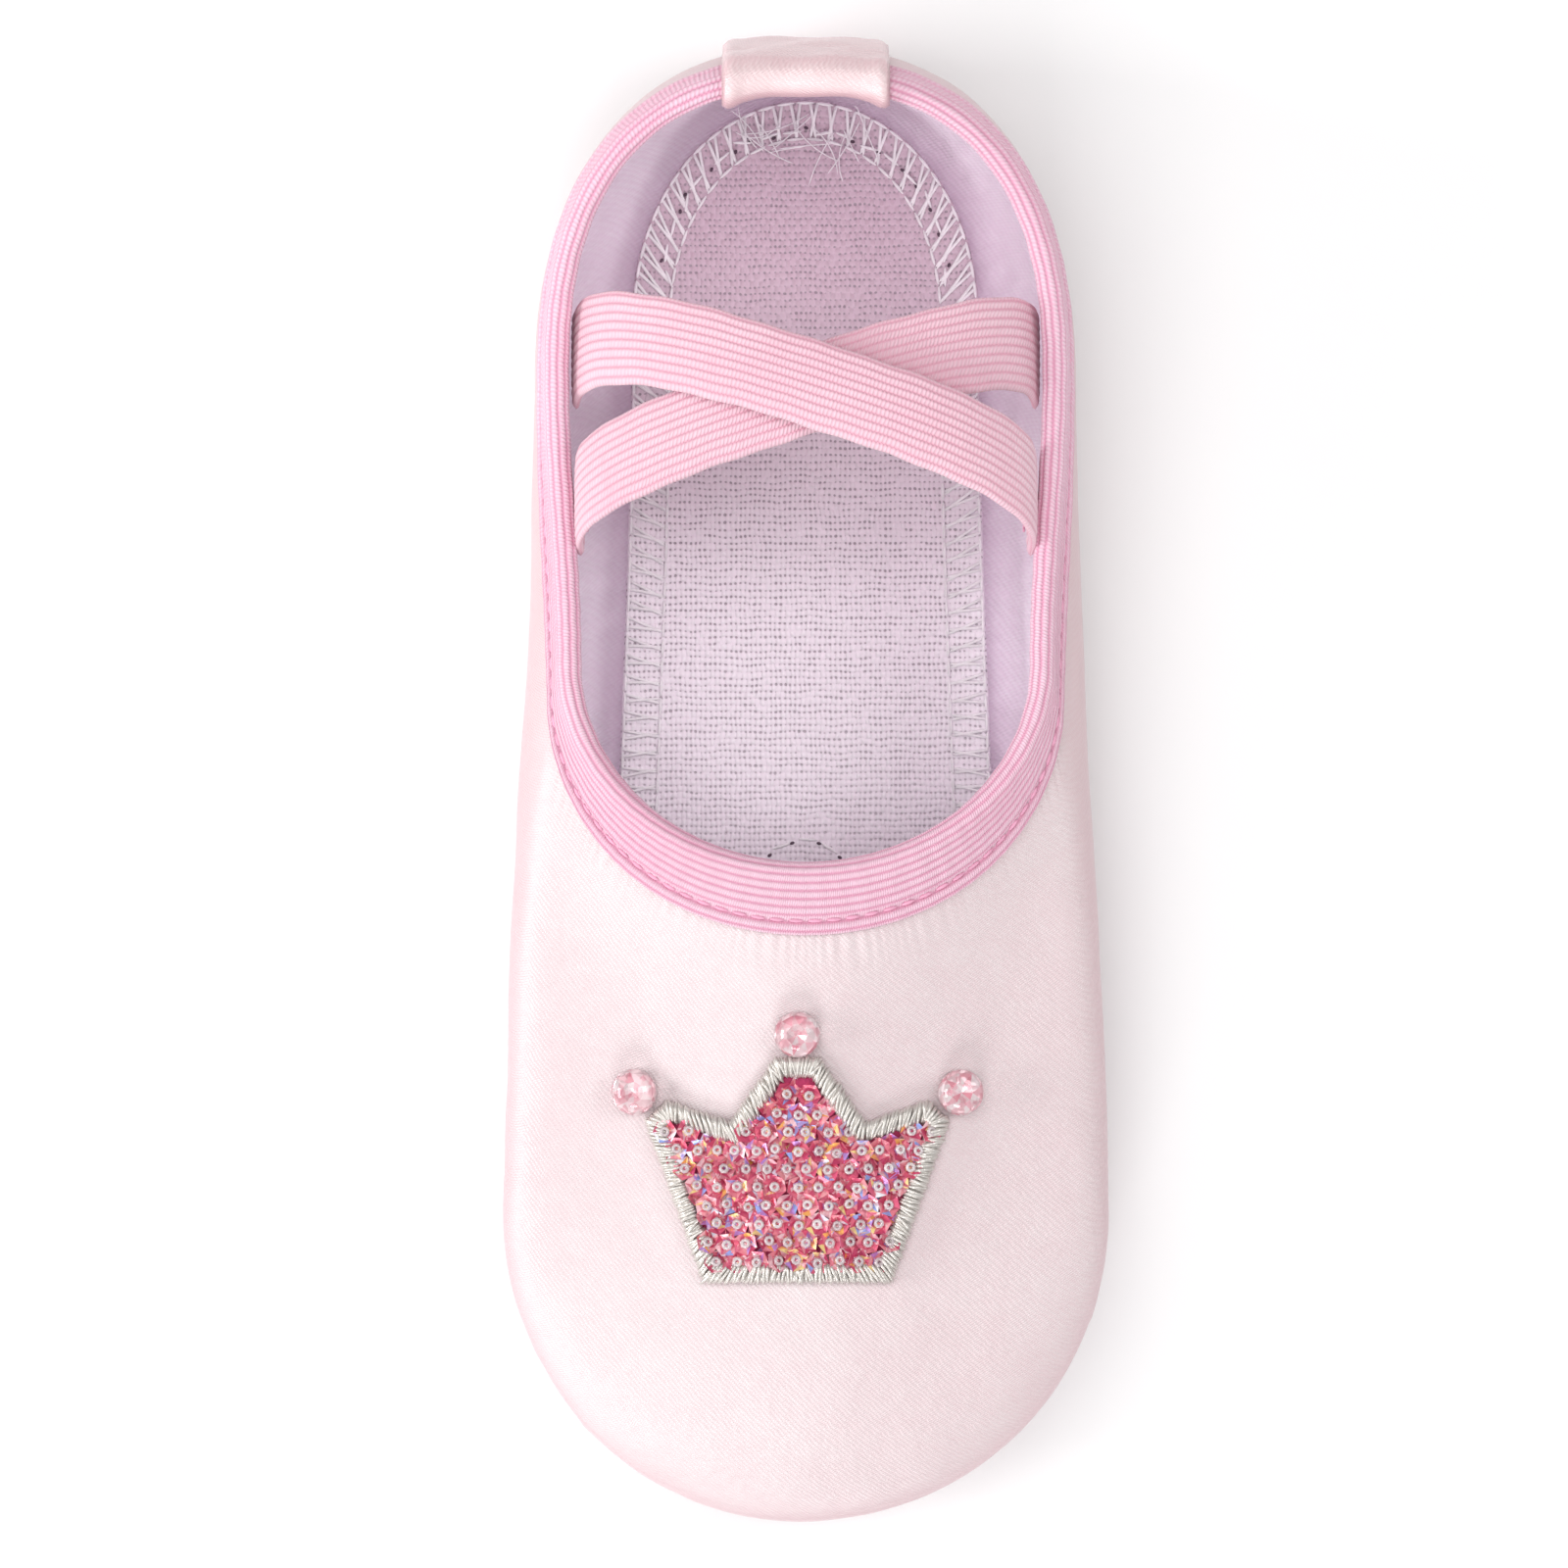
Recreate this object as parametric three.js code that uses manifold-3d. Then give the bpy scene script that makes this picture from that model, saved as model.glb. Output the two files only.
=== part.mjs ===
// A child's satin ballet slipper: a soft cup of satin and lining on a split suede sole, with an elastic-bound
// opening, two crossed elastic straps, a satin heel tab and a sequinned crown on the vamp.
//
// Units are millimetres. The toe points to -Y and the heel to +Y, X runs across and Z is up.
// The sole patches rest on Z = 0, and the origin is under the middle of the slipper.
import * as THREE from "three";
import { mergeVertices } from "three/addons/utils/BufferGeometryUtils.js";
import { TessellateModifier } from "three/addons/modifiers/TessellateModifier.js";
import Module from "manifold-3d";

const wasm = await Module();
wasm.setup();

// ---- Driving dimensions ----------------------------------------------------------------------------------------

const slipperLength = 180; // toe tip to the back of the heel tab
const gap = 0.15; // between layers that share one curved grid
const looseGap = 0.35; // between pieces that don't share a grid

const satinThickness = 0.5;
const liningThickness = 0.5;
const suedeThickness = 1.1;
const foamThickness = 2;
const canvasThickness = 0.8;
const overlockThickness = 0.3;
const threadThickness = 0.35;

const ballWidth = 73.4; // widest line of the upper, at the ball of the foot
const heelWidth = 65.6;
const heelRound = 41.5; // how far the rounded heel runs before the sides start
const girthHeight = 14; // height of the widest line

const openingHeelWidth = 60.8; // the fabric's top edge, across the back of the opening
const openingFrontWidth = 57.8; // the same, where the sides start to close round the throat
const openingHeelInset = 4.6; // the top edge stands this far in from the back of the heel
const openingHeelRound = 36;
const throatRound = 25; // length of the curved front of the opening
const vampLength = 79; // toe tip to the throat, in plan

const heelHeight = 42.5; // heights of the fabric's top edge
const sideHeight = 29.5;
const throatHeight = 30.5;
const lowestSideY = 22; // where the top edge is lowest

const soleToeInset = 17; // the flat sole starts this far in from the toe tip
const soleHeelInset = 5.5;
const soleBallWidth = 48.8;
const soleHeelWidth = 43.4;
const soleToeRound = 26;
const soleHeelRound = 27;
const insoleInset = 0.5; // the insole's edge, inside the edge of the flat sole

const bindingWidth = 7.6; // outer face of the folded elastic
const bindingInnerWidth = 4.4;
const elasticThickness = 0.7;
const bindingStitchRise = 1.7; // row of stitches, above the binding's lower edge

const strapWidth = 11.6;
const strapThickness = 1;
const strapMiddleY = 41.6; // the two straps cross here
const strapSpacing = 6.4; // between the front and the rear strap, along the rim
const strapRise = 13; // the lower strap's crown, above its anchors
const strapCrossing = 2.7; // the upper strap's crown, above the lower one's
const strapLean = 22; // degrees the arches lean towards the heel
const strapAnchorDrop = 2.4; // anchors lie this far below the top edge
const strapTail = 4.5; // sewn end below the anchor
const strapSquareness = 2.7;
const strapClearance = 1.1; // sewn ends to the binding, which they turn past

const tabWidth = 20;
const tabThickness = 0.6;
const tabGap = 0.6; // between the tab and what it wraps
const tabInnerLength = 8.5; // how far the tab hangs down inside the heel
const tabStitchInset = 2.2;
const tabHem = 1.5; // the tab's lower end stands this far out from the flat sole

const overlockWidth = 5.5;
const backSeamWidth = 4;

const forefootPatch = { fromToe: 18, widestFromToe: 41, backFromToe: 85, halfWidth: 23.2 };
const heelPatch = { fromHeel: 9, widestFromHeel: 28, frontFromHeel: 60, halfWidth: 19.1 };
const patchStitchInset = 3.2;
const patchStitchSpacing = 3.2; // between the two rows at the forefoot
const stitchGroove = 0.9; // width of the groove that a row of stitches lies in

const crownX = -1; // the crown sits a little to the left of the middle
const crownTop = { half: 2.7, down: 22.3 }; // half a width, and how far below the throat, of each corner
const crownValley = { half: 8.2, down: 30.1 };
const crownTipInner = { half: 15.8, down: 27.5 }; // the side points are blunt too
const crownTipOuter = { half: 18.5, down: 30 };
const crownFoot = { half: 11.4, down: 49.6 };
const crownBorder = 2.4;
const crownBackingThickness = 0.4;
const crownBorderThickness = 0.7;
const sequinRows = 7;
const sequinRowGap = 0.4;
const sequinThickness = 0.9;
const crownFacet = 5; // longest edge of a facet
const gemRadius = 2.7;
const gemHeight = 3;

const around = 56; // grid columns round the slipper
const tackLength = 7;
const tackWidth = 1.6;

// ---- Derived places --------------------------------------------------------------------------------------------

const toeY = -slipperLength / 2;
const backY = slipperLength / 2;
const heelY = backY - tabGap - tabThickness;
const soleHeight = suedeThickness + gap; // underside of the satin
const liningDepth = satinThickness + gap; // depths are measured inwards from the outside of the satin
const wallDepth = liningDepth + liningThickness;
const bindingDepth = wallDepth + gap + elasticThickness;
const insoleBase = soleHeight + wallDepth + gap;
const canvasBase = insoleBase + foamThickness + gap;
const canvasTop = canvasBase + canvasThickness;

const colours = {
  satin: { color: 0xf6d3d6, roughness: 0.42, metalness: 0 },
  lining: { color: 0xe3cbdc, roughness: 0.9, metalness: 0 },
  canvas: { color: 0xe6d6e4, roughness: 0.95, metalness: 0 },
  foam: { color: 0xf2eef0, roughness: 0.95, metalness: 0 },
  suede: { color: 0xbfc3c9, roughness: 0.95, metalness: 0 },
  elastic: { color: 0xf0aac6, roughness: 0.8, metalness: 0 },
  strap: { color: 0xf7b6c8, roughness: 0.8, metalness: 0 },
  paleThread: { color: 0xf2f2f4, roughness: 0.7, metalness: 0 },
  pinkThread: { color: 0xe58aa6, roughness: 0.7, metalness: 0 },
  silver: { color: 0xd9d4c8, roughness: 0.35, metalness: 0.5 },
  sequin: { color: 0xe2547e, roughness: 0.2, metalness: 0.4 },
  gem: { color: 0xf3a9ba, roughness: 0.05, metalness: 0 },
};

const slipper = new THREE.Group();

function add(name, geometry, finish, parent = slipper) {
  const mesh = new THREE.Mesh(geometry, new THREE.MeshStandardMaterial(colours[finish]));
  mesh.name = name;
  parent.add(mesh);
  return mesh;
}

// ---- Helpers ---------------------------------------------------------------------------------------------------

const mix = (a, b, t) => a + (b - a) * t;
const radians = THREE.MathUtils.degToRad;
const ease = THREE.MathUtils.smoothstep;

// Moves every vertex of a closed three.js geometry to place(u, v), and turns it the right way out.
function reshape(geometry, place) {
  const position = geometry.getAttribute("position");
  const uv = geometry.getAttribute("uv");
  for (let i = 0; i < position.count; i++) {
    const p = place(uv.getX(i), uv.getY(i));
    position.setXYZ(i, p.x, p.y, p.z);
  }
  return faceOutwards(geometry);
}

// Moves every vertex of a unit box to place(x, y, z), each from 0 to 1.
function reshapeBox(columns, rows, place) {
  const geometry = new THREE.BoxGeometry(1, 1, 1, columns, rows, 1);
  const position = geometry.getAttribute("position");
  for (let i = 0; i < position.count; i++) {
    const p = place(position.getX(i) + 0.5, position.getY(i) + 0.5, position.getZ(i) + 0.5);
    position.setXYZ(i, p.x, p.y, p.z);
  }
  return faceOutwards(geometry);
}

function faceOutwards(geometry) {
  const merged = bare(geometry);
  const index = merged.index.array;
  const p = merged.getAttribute("position");
  const corners = [new THREE.Vector3(), new THREE.Vector3(), new THREE.Vector3()];
  let volume = 0;
  for (let i = 0; i < index.length; i += 3) {
    corners.forEach((c, k) => c.fromBufferAttribute(p, index[i + k]));
    volume += corners[0].dot(corners[1].clone().cross(corners[2]));
  }
  if (volume < 0) {
    for (let i = 0; i < index.length; i += 3) [index[i + 1], index[i + 2]] = [index[i + 2], index[i + 1]];
  }
  return merged;
}

// Positions only, with shared vertices merged.
function bare(geometry) {
  const copy = geometry.clone();
  copy.deleteAttribute("normal");
  copy.deleteAttribute("uv");
  return mergeVertices(copy, 1e-4);
}

function solid(geometry) {
  const g = bare(geometry);
  return new wasm.Manifold(
    new wasm.Mesh({
      numProp: 3,
      vertProperties: new Float32Array(g.getAttribute("position").array),
      triVerts: new Uint32Array(g.index.array),
    }),
  );
}

function geometryOf(manifold) {
  const mesh = manifold.getMesh();
  return new THREE.BufferGeometry()
    .setAttribute("position", new THREE.BufferAttribute(new Float32Array(mesh.vertProperties), 3))
    .setIndex(new THREE.BufferAttribute(new Uint32Array(mesh.triVerts), 1));
}

// ---- Outlines --------------------------------------------------------------------------------------------------

// An egg-shaped outline that is the same on both sides: a heel arc, a tapering side and a toe arc.
// share runs from 0 at the heel to 1 at the toe by length, and is negative on the left side.
class Outline {
  constructor({ heelY, heelRound, heelHalf, toeY, toeRound, toeHalf, heelSquareness = 2 }) {
    const steps = 48;
    this.points = [];
    for (let i = 0; i <= steps; i++) {
      const a = ((i / steps) * Math.PI) / 2;
      const x = heelHalf * Math.sin(a) ** (2 / heelSquareness);
      this.points.push(new THREE.Vector2(x, heelY - heelRound * (1 - Math.cos(a) ** (2 / heelSquareness))));
    }
    const sideStart = heelY - heelRound;
    const sideEnd = toeY + toeRound;
    for (let i = 1; i < steps; i++) {
      const t = i / steps;
      this.points.push(new THREE.Vector2(mix(heelHalf, toeHalf, ease(t, 0, 1)), mix(sideStart, sideEnd, t)));
    }
    for (let i = 0; i <= steps; i++) {
      const a = ((i / steps) * Math.PI) / 2;
      this.points.push(new THREE.Vector2(toeHalf * Math.cos(a), toeY + toeRound * (1 - Math.sin(a))));
    }
    this.lengths = [0];
    for (let i = 1; i < this.points.length; i++) {
      this.lengths.push(this.lengths[i - 1] + this.points[i].distanceTo(this.points[i - 1]));
    }
    this.total = this.lengths.at(-1);
  }

  at(share) {
    const side = share < 0 ? -1 : 1;
    const goal = Math.min(Math.abs(share), 1) * this.total;
    let i = 1;
    while (i < this.lengths.length - 1 && this.lengths[i] < goal) i++;
    const t = (goal - this.lengths[i - 1]) / (this.lengths[i] - this.lengths[i - 1]);
    const p = this.points[i - 1].clone().lerp(this.points[i], t);
    return new THREE.Vector2(p.x * side, p.y);
  }

  // A closed THREE.Shape round the outline, anticlockwise.
  shape(count = 48) {
    const points = [];
    for (let i = 0; i < count; i++) points.push(this.at(1 - (2 * i) / count));
    return new THREE.Shape(points);
  }
}

const girthLine = new Outline({
  heelY,
  heelRound,
  heelHalf: heelWidth / 2,
  toeY,
  toeRound: ballWidth / 2,
  toeHalf: ballWidth / 2,
  heelSquareness: 2.3,
});
const topLine = new Outline({
  heelY: heelY - openingHeelInset,
  heelRound: openingHeelRound,
  heelHalf: openingHeelWidth / 2,
  toeY: toeY + vampLength,
  toeRound: throatRound,
  toeHalf: openingFrontWidth / 2,
  heelSquareness: 2.4,
});
const soleSizes = {
  heelY: heelY - soleHeelInset,
  heelRound: soleHeelRound,
  heelHalf: soleHeelWidth / 2,
  toeY: toeY + soleToeInset,
  toeRound: soleToeRound,
  toeHalf: soleBallWidth / 2,
};
const soleLine = new Outline(soleSizes);

// The sole's outline, inset by a distance.
function insetSole(inset) {
  return new Outline({
    heelY: soleSizes.heelY - inset,
    heelRound: soleSizes.heelRound - inset,
    heelHalf: soleSizes.heelHalf - inset,
    toeY: soleSizes.toeY + inset,
    toeRound: soleSizes.toeRound - inset,
    toeHalf: soleSizes.toeHalf - inset,
  });
}

// ---- The upper's surface ---------------------------------------------------------------------------------------

// Threads run from the sole's edge out to the widest line and up to the top edge. More of them reach the sides of the
// opening than its front, so the top edge is walked a little ahead of the widest line.
const topShare = (share) => share + 0.13 * Math.sin(Math.PI * share);

function topHeight(y) {
  const heel = topLine.points[0].y;
  const throat = topLine.points.at(-1).y;
  if (y > lowestSideY) return mix(sideHeight, heelHeight, ((y - lowestSideY) / (heel - lowestSideY)) ** 2);
  return mix(sideHeight, throatHeight, ((lowestSideY - y) / (lowestSideY - throat)) ** 2);
}

const turnSteps = 12;
const rise = 24;

// One thread, as points from the top edge down to the sole's edge, with the number of the point on the widest line.
function thread(share) {
  const sole = soleLine.at(share);
  const girth = girthLine.at(share);
  const top = topLine.at(topShare(share));
  const height = topHeight(top.y);
  const frontness = ease(Math.abs(share), 0.5, 1);
  const lean = radians(mix(80, 13, ease(Math.abs(share), 0.42, 1)));
  const back = new THREE.Vector2().subVectors(top, girth).normalize().multiplyScalar(Math.cos(lean));
  const reach = mix(6, 36, frontness);
  const curve = new THREE.CubicBezierCurve3(
    new THREE.Vector3(top.x, top.y, height),
    new THREE.Vector3(top.x - back.x * reach, top.y - back.y * reach, height - Math.sin(lean) * reach),
    new THREE.Vector3(girth.x, girth.y, girthHeight + mix(8, 12, frontness)),
    new THREE.Vector3(girth.x, girth.y, girthHeight),
  );
  const points = curve.getPoints(rise);
  for (let i = 1; i <= turnSteps; i++) {
    const a = ((i / turnSteps) * Math.PI) / 2;
    const flat = girth.clone().lerp(sole, 1 - Math.cos(a));
    points.push(new THREE.Vector3(flat.x, flat.y, mix(girthHeight, soleHeight, Math.sin(a))));
  }
  const lengths = [0];
  for (let i = 1; i < points.length; i++) lengths.push(lengths[i - 1] + points[i].distanceTo(points[i - 1]));
  return { points, lengths, girth: lengths[rise], total: lengths.at(-1) };
}

const threads = new Map();
function threadAt(share) {
  const wrapped = THREE.MathUtils.euclideanModulo(share + 1, 2) - 1;
  const key = Math.round(wrapped * 1e6);
  if (!threads.has(key)) threads.set(key, thread(wrapped));
  return threads.get(key);
}

// The point on the outside of the satin, down along the thread from the top edge.
function skin(share, down) {
  const { points, lengths, total } = threadAt(share);
  const goal = Math.min(Math.max(down, 0), total);
  let i = 1;
  while (i < lengths.length - 1 && lengths[i] < goal) i++;
  const t = (goal - lengths[i - 1]) / (lengths[i] - lengths[i - 1]);
  return points[i - 1].clone().lerp(points[i], t);
}

function outward(share, down) {
  const step = 0.004;
  const { total } = threadAt(share);
  const d = Math.min(Math.max(down, 0.4), total - 0.4);
  const along = skin(share + step, d).sub(skin(share - step, d));
  const downwards = skin(share, d + 0.4).sub(skin(share, d - 0.4));
  return along.cross(downwards).normalize();
}

// The same, moved inwards by depth along the surface's normal; above the top edge it goes on upwards.
function layer(share, down, depth) {
  const p = skin(share, down);
  const inwards = outward(share, down).multiplyScalar(-1);
  if (down < 0) p.add(skin(share, 0).sub(skin(share, 0.8)).normalize().multiplyScalar(-down));
  return p.addScaledVector(inwards, depth);
}

// Distances down a thread of the shared grid's rows: the binding's rows, then the wall, then the turn to the sole.
function rowsOf(share) {
  const { girth, total } = threadAt(share);
  const rows = [0, bindingWidth / 2, bindingWidth];
  const wallRows = 7;
  const turnRows = 4;
  for (let i = 1; i <= wallRows; i++) rows.push(mix(girth, bindingWidth, (1 - i / wallRows) ** 1.5));
  for (let i = 1; i <= turnRows; i++) rows.push(mix(girth, total, i / turnRows));
  return rows;
}
const rowCount = rowsOf(0).length;

// A cup of fabric between two depths: one face from the middle of the sole up to the rim, then the other back down.
// Faces that meet in neighbouring cups run the same way, so their facets match.
function cup(risingDepth, fallingDepth) {
  const bands = 2 * rowCount + 1;
  const place = (u, v) => {
    const share = 2 * u - 1;
    const band = Math.round((1 - v) * bands);
    if (band === 0) return new THREE.Vector3(0, 0, soleHeight + risingDepth);
    if (band === bands) return new THREE.Vector3(0, 0, soleHeight + fallingDepth);
    if (band <= rowCount) return layer(share, rowsOf(share)[rowCount - band], risingDepth);
    return layer(share, rowsOf(share)[band - rowCount - 1], fallingDepth);
  };
  return reshape(new THREE.SphereGeometry(1, around, bands), place);
}

// A closed ring whose section is a loop of [down, depth] pairs, or a function of share that gives one.
function ring(section) {
  const loop = typeof section === "function" ? section : () => section;
  const count = loop(0).length;
  return reshape(new THREE.TorusGeometry(1, 0.5, count, around), (u, v) => {
    const share = 2 * u - 1;
    const [down, depth] = loop(share)[Math.round(v * count) % count];
    return layer(share, down, depth);
  });
}

// ---- Upper, lining and binding ---------------------------------------------------------------------------------

const satin = add("satin_upper", cup(0, satinThickness), "satin");
add("cotton_lining", cup(wallDepth, liningDepth), "lining");

const fold = gap + elasticThickness;
add(
  "topline_binding",
  ring([
    [bindingWidth, -fold],
    [bindingWidth / 2, -fold],
    [0, -fold],
    [-fold, 0],
    [-fold, wallDepth],
    [0, bindingDepth],
    [bindingInnerWidth, bindingDepth],
    [bindingInnerWidth, wallDepth + gap],
    [0, wallDepth + gap],
    [-gap, wallDepth],
    [-gap, 0],
    [0, -gap],
    [bindingWidth / 2, -gap],
    [bindingWidth, -gap],
  ]),
  "elastic",
);

const stitchDepth = -fold - gap;
add(
  "binding_stitch",
  ring([
    [bindingWidth - bindingStitchRise + threadThickness, stitchDepth],
    [bindingWidth - bindingStitchRise + threadThickness, stitchDepth - threadThickness],
    [bindingWidth - bindingStitchRise, stitchDepth - threadThickness],
    [bindingWidth - bindingStitchRise, stitchDepth],
  ]),
  "pinkThread",
);

// ---- Heel tab and back seam ------------------------------------------------------------------------------------

// The tab's inner face, as [down, depth] pairs from under the heel patch, up the back, over the rim and down inside.
function tabPath() {
  const { total, girth } = threadAt(0);
  const overBinding = stitchDepth - threadThickness - looseGap;
  const outside = [];
  for (let i = 0; i <= 4; i++) outside.push([mix(total - tabHem, girth, i / 4), -tabGap]);
  outside.push([mix(girth, bindingWidth, 0.5), -tabGap]);
  outside.push([bindingWidth + 1.6, -tabGap]);
  outside.push([bindingWidth + 0.3, overBinding]);
  outside.push([0.6, overBinding]);
  outside.push([-fold - tabGap, overBinding + 0.9]);
  outside.push([-fold - tabGap, bindingDepth - 0.4]);
  outside.push([0.6, bindingDepth + tabGap]);
  outside.push([bindingInnerWidth + 0.5, bindingDepth + tabGap]);
  outside.push([tabInnerLength, bindingDepth + tabGap]);
  return outside;
}

// The share whose surface point stands at x, down the heel.
function shareAtX(x, down) {
  let share = x / girthLine.total;
  for (let i = 0; i < 5 && x !== 0; i++) share *= x / skin(share, down).x;
  return share;
}

function heelTab() {
  const path = tabPath();
  const last = path.length - 1;
  const spine = path.map(([down, depth]) => layer(0, down, depth));
  return reshapeBox(4, last, (x, y, z) => {
    const i = Math.round(y * last);
    const [down, depth] = path[i];
    const across = (x - 0.5) * tabWidth;
    const place = layer(shareAtX(across, down), down, depth);
    const along = spine[Math.min(i + 1, last)].clone().sub(spine[Math.max(i - 1, 0)]).normalize();
    place.addScaledVector(along.cross(new THREE.Vector3(-1, 0, 0)), -z * tabThickness);
    place.x = across;
    return place;
  });
}
add("heel_tab", heelTab(), "satin");

// One row of stitches up each edge of the tab.
function tabStitch(side) {
  const middle = side * (tabWidth / 2 - tabStitchInset);
  const lowest = threadAt(0).total - tabHem - 3;
  const highest = threadAt(0).girth;
  return reshapeBox(1, 8, (x, y, z) => {
    const down = mix(lowest, highest, y);
    const lift = tabGap + tabThickness + looseGap + z * threadThickness;
    const place = layer(shareAtX(middle, down), down, -lift);
    place.x = middle + (x - 0.5) * threadThickness;
    return place;
  });
}
add("heel_tab_stitch_left", tabStitch(-1), "pinkThread");
add("heel_tab_stitch_right", tabStitch(1), "pinkThread");

// The upper's closing seam, as an overlocked ridge on the inside of the heel, below the tab.
const backSeam = reshapeBox(2, 6, (x, y, z) => {
  const down = mix(tabInnerLength + 1.5, threadAt(0).girth + 2, y);
  const p = layer(0, down, wallDepth + looseGap + z * threadThickness);
  p.x = (x - 0.5) * backSeamWidth;
  return p;
});
add("back_seam", backSeam, "paleThread");

// ---- Insole ----------------------------------------------------------------------------------------------------

function plate(shape, bottom, thickness) {
  const geometry = new THREE.ExtrudeGeometry(shape, { depth: thickness, bevelEnabled: false, curveSegments: 7 });
  return geometry.translate(0, 0, bottom);
}

const insoleShape = insetSole(insoleInset).shape();
add("insole_foam", plate(insoleShape, insoleBase, foamThickness), "foam");
add("insole_canvas", plate(insoleShape, canvasBase, canvasThickness), "canvas");

const overlockShape = insetSole(insoleInset).shape();
overlockShape.holes.push(insetSole(insoleInset + overlockWidth).shape());
add("insole_overlock", plate(overlockShape, canvasTop + gap, overlockThickness), "paleThread");

// ---- Sole patches ----------------------------------------------------------------------------------------------

// A suede patch: round at its broad end and drawn out to a small round tip under the arch.
function patchShape({ broad, widest, tip, halfWidth }, inset = 0) {
  const towards = Math.sign(tip - broad);
  const end = broad + towards * inset;
  const point = tip - towards * inset;
  const half = (halfWidth - inset) * towards;
  const shape = new THREE.Shape();
  const roundness = 0.56;
  shape.moveTo(0, end);
  shape.bezierCurveTo(half * roundness, end, half, mix(widest, end, roundness), half, widest);
  shape.bezierCurveTo(half, mix(widest, point, 0.42), half * 0.36, point, 0, point);
  shape.bezierCurveTo(-half * 0.36, point, -half, mix(widest, point, 0.42), -half, widest);
  shape.bezierCurveTo(-half, mix(widest, end, roundness), -half * roundness, end, 0, end);
  return shape;
}

function bandShape(sizes, inset, width) {
  const shape = patchShape(sizes, inset - width / 2);
  shape.holes.push(patchShape(sizes, inset + width / 2));
  return shape;
}

function solePatch(name, sizes, rows) {
  let patch = solid(plate(patchShape(sizes), 0, suedeThickness));
  const grooveDepth = threadThickness + gap;
  rows.forEach(([rowName, inset]) => {
    const groove = plate(bandShape(sizes, inset, stitchGroove), -1, 1 + grooveDepth);
    patch = patch.subtract(solid(groove));
    add(rowName, plate(bandShape(sizes, inset, threadThickness), gap / 2, threadThickness), "paleThread");
  });
  add(name, geometryOf(patch), "suede");
}

solePatch(
  "forefoot_sole",
  {
    broad: toeY + forefootPatch.fromToe,
    widest: toeY + forefootPatch.widestFromToe,
    tip: toeY + forefootPatch.backFromToe,
    halfWidth: forefootPatch.halfWidth,
  },
  [
    ["forefoot_stitch_outer", patchStitchInset],
    ["forefoot_stitch_inner", patchStitchInset + patchStitchSpacing],
  ],
);
solePatch(
  "heel_sole",
  {
    broad: backY - heelPatch.fromHeel,
    widest: backY - heelPatch.widestFromHeel,
    tip: backY - heelPatch.frontFromHeel,
    halfWidth: heelPatch.halfWidth,
  },
  [["heel_stitch", patchStitchInset]],
);

// ---- Crossed straps --------------------------------------------------------------------------------------------

// The inside of the wall at a height along the slipper, where a strap's sewn end lies.
function wallX(y) {
  let share = 0.1;
  while (topLine.at(topShare(share)).y > y) share += 0.002;
  return layer(share, strapAnchorDrop, bindingDepth).x;
}

// One strap's places: the middle of its hinge line, its direction, and how far its anchors stand from the middle.
function strapPlaces(leftY, rightY) {
  const edge = Math.min(wallX(leftY - strapWidth / 2), wallX(leftY + strapWidth / 2));
  const edgeRight = Math.min(wallX(rightY - strapWidth / 2), wallX(rightY + strapWidth / 2));
  const half = Math.min(edge, edgeRight) - strapClearance;
  const height = topHeight(strapMiddleY) - strapAnchorDrop;
  const left = new THREE.Vector3(-half, leftY, height);
  const right = new THREE.Vector3(half, rightY, height);
  return { left, right, middle: left.clone().lerp(right, 0.5), along: right.clone().sub(left).normalize() };
}

function strap(name, leftY, rightY, crown) {
  const { left, right, along } = strapPlaces(leftY, rightY);
  const span = right.clone().sub(left).length();
  const across = new THREE.Vector3(0, 1, 0); // the ends lie flat along the wall
  const up = new THREE.Vector3(0, 0, 1).applyAxisAngle(along, -radians(strapLean));
  const half = span / 2 - strapThickness / 2;
  // The middle line: a sewn tail, an arch with upright ends, and a tail. [along, up] pairs.
  const line = [];
  line.push([-half, -strapTail]);
  const arch = 22;
  for (let i = 0; i <= arch; i++) {
    const a = Math.PI * (1 - i / arch);
    const x = Math.sign(Math.cos(a)) * Math.abs(Math.cos(a)) ** (2 / strapSquareness);
    line.push([half * x, crown * Math.sin(a) ** (2 / strapSquareness)]);
  }
  line.push([half, -strapTail]);
  const middle = left.clone().lerp(right, 0.5);
  const last = line.length - 1;
  const geometry = reshapeBox(last, 1, (x, y, z) => {
    const i = Math.round(x * last);
    const [a, h] = line[i];
    const [a0, h0] = line[Math.max(i - 1, 0)];
    const [a1, h1] = line[Math.min(i + 1, last)];
    const size = Math.hypot(a1 - a0, h1 - h0);
    const offset = (z - 0.5) * strapThickness;
    const alongPart = a - (offset * (h1 - h0)) / size;
    const upPart = h + (offset * (a1 - a0)) / size;
    const lifted = upPart > 0 ? up.clone().multiplyScalar(upPart) : new THREE.Vector3(0, 0, upPart);
    return middle
      .clone()
      .addScaledVector(along, alongPart)
      .add(lifted)
      .addScaledVector(across, (y - 0.5) * strapWidth);
  });
  return add(name, geometry, "strap");
}

const strapStagger = strapWidth + strapSpacing;
const rearY = strapMiddleY + strapStagger / 2;
const frontY = strapMiddleY - strapStagger / 2;
strap("strap_over", rearY, frontY, strapRise + strapCrossing);
strap("strap_under", frontY, rearY, strapRise);

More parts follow.
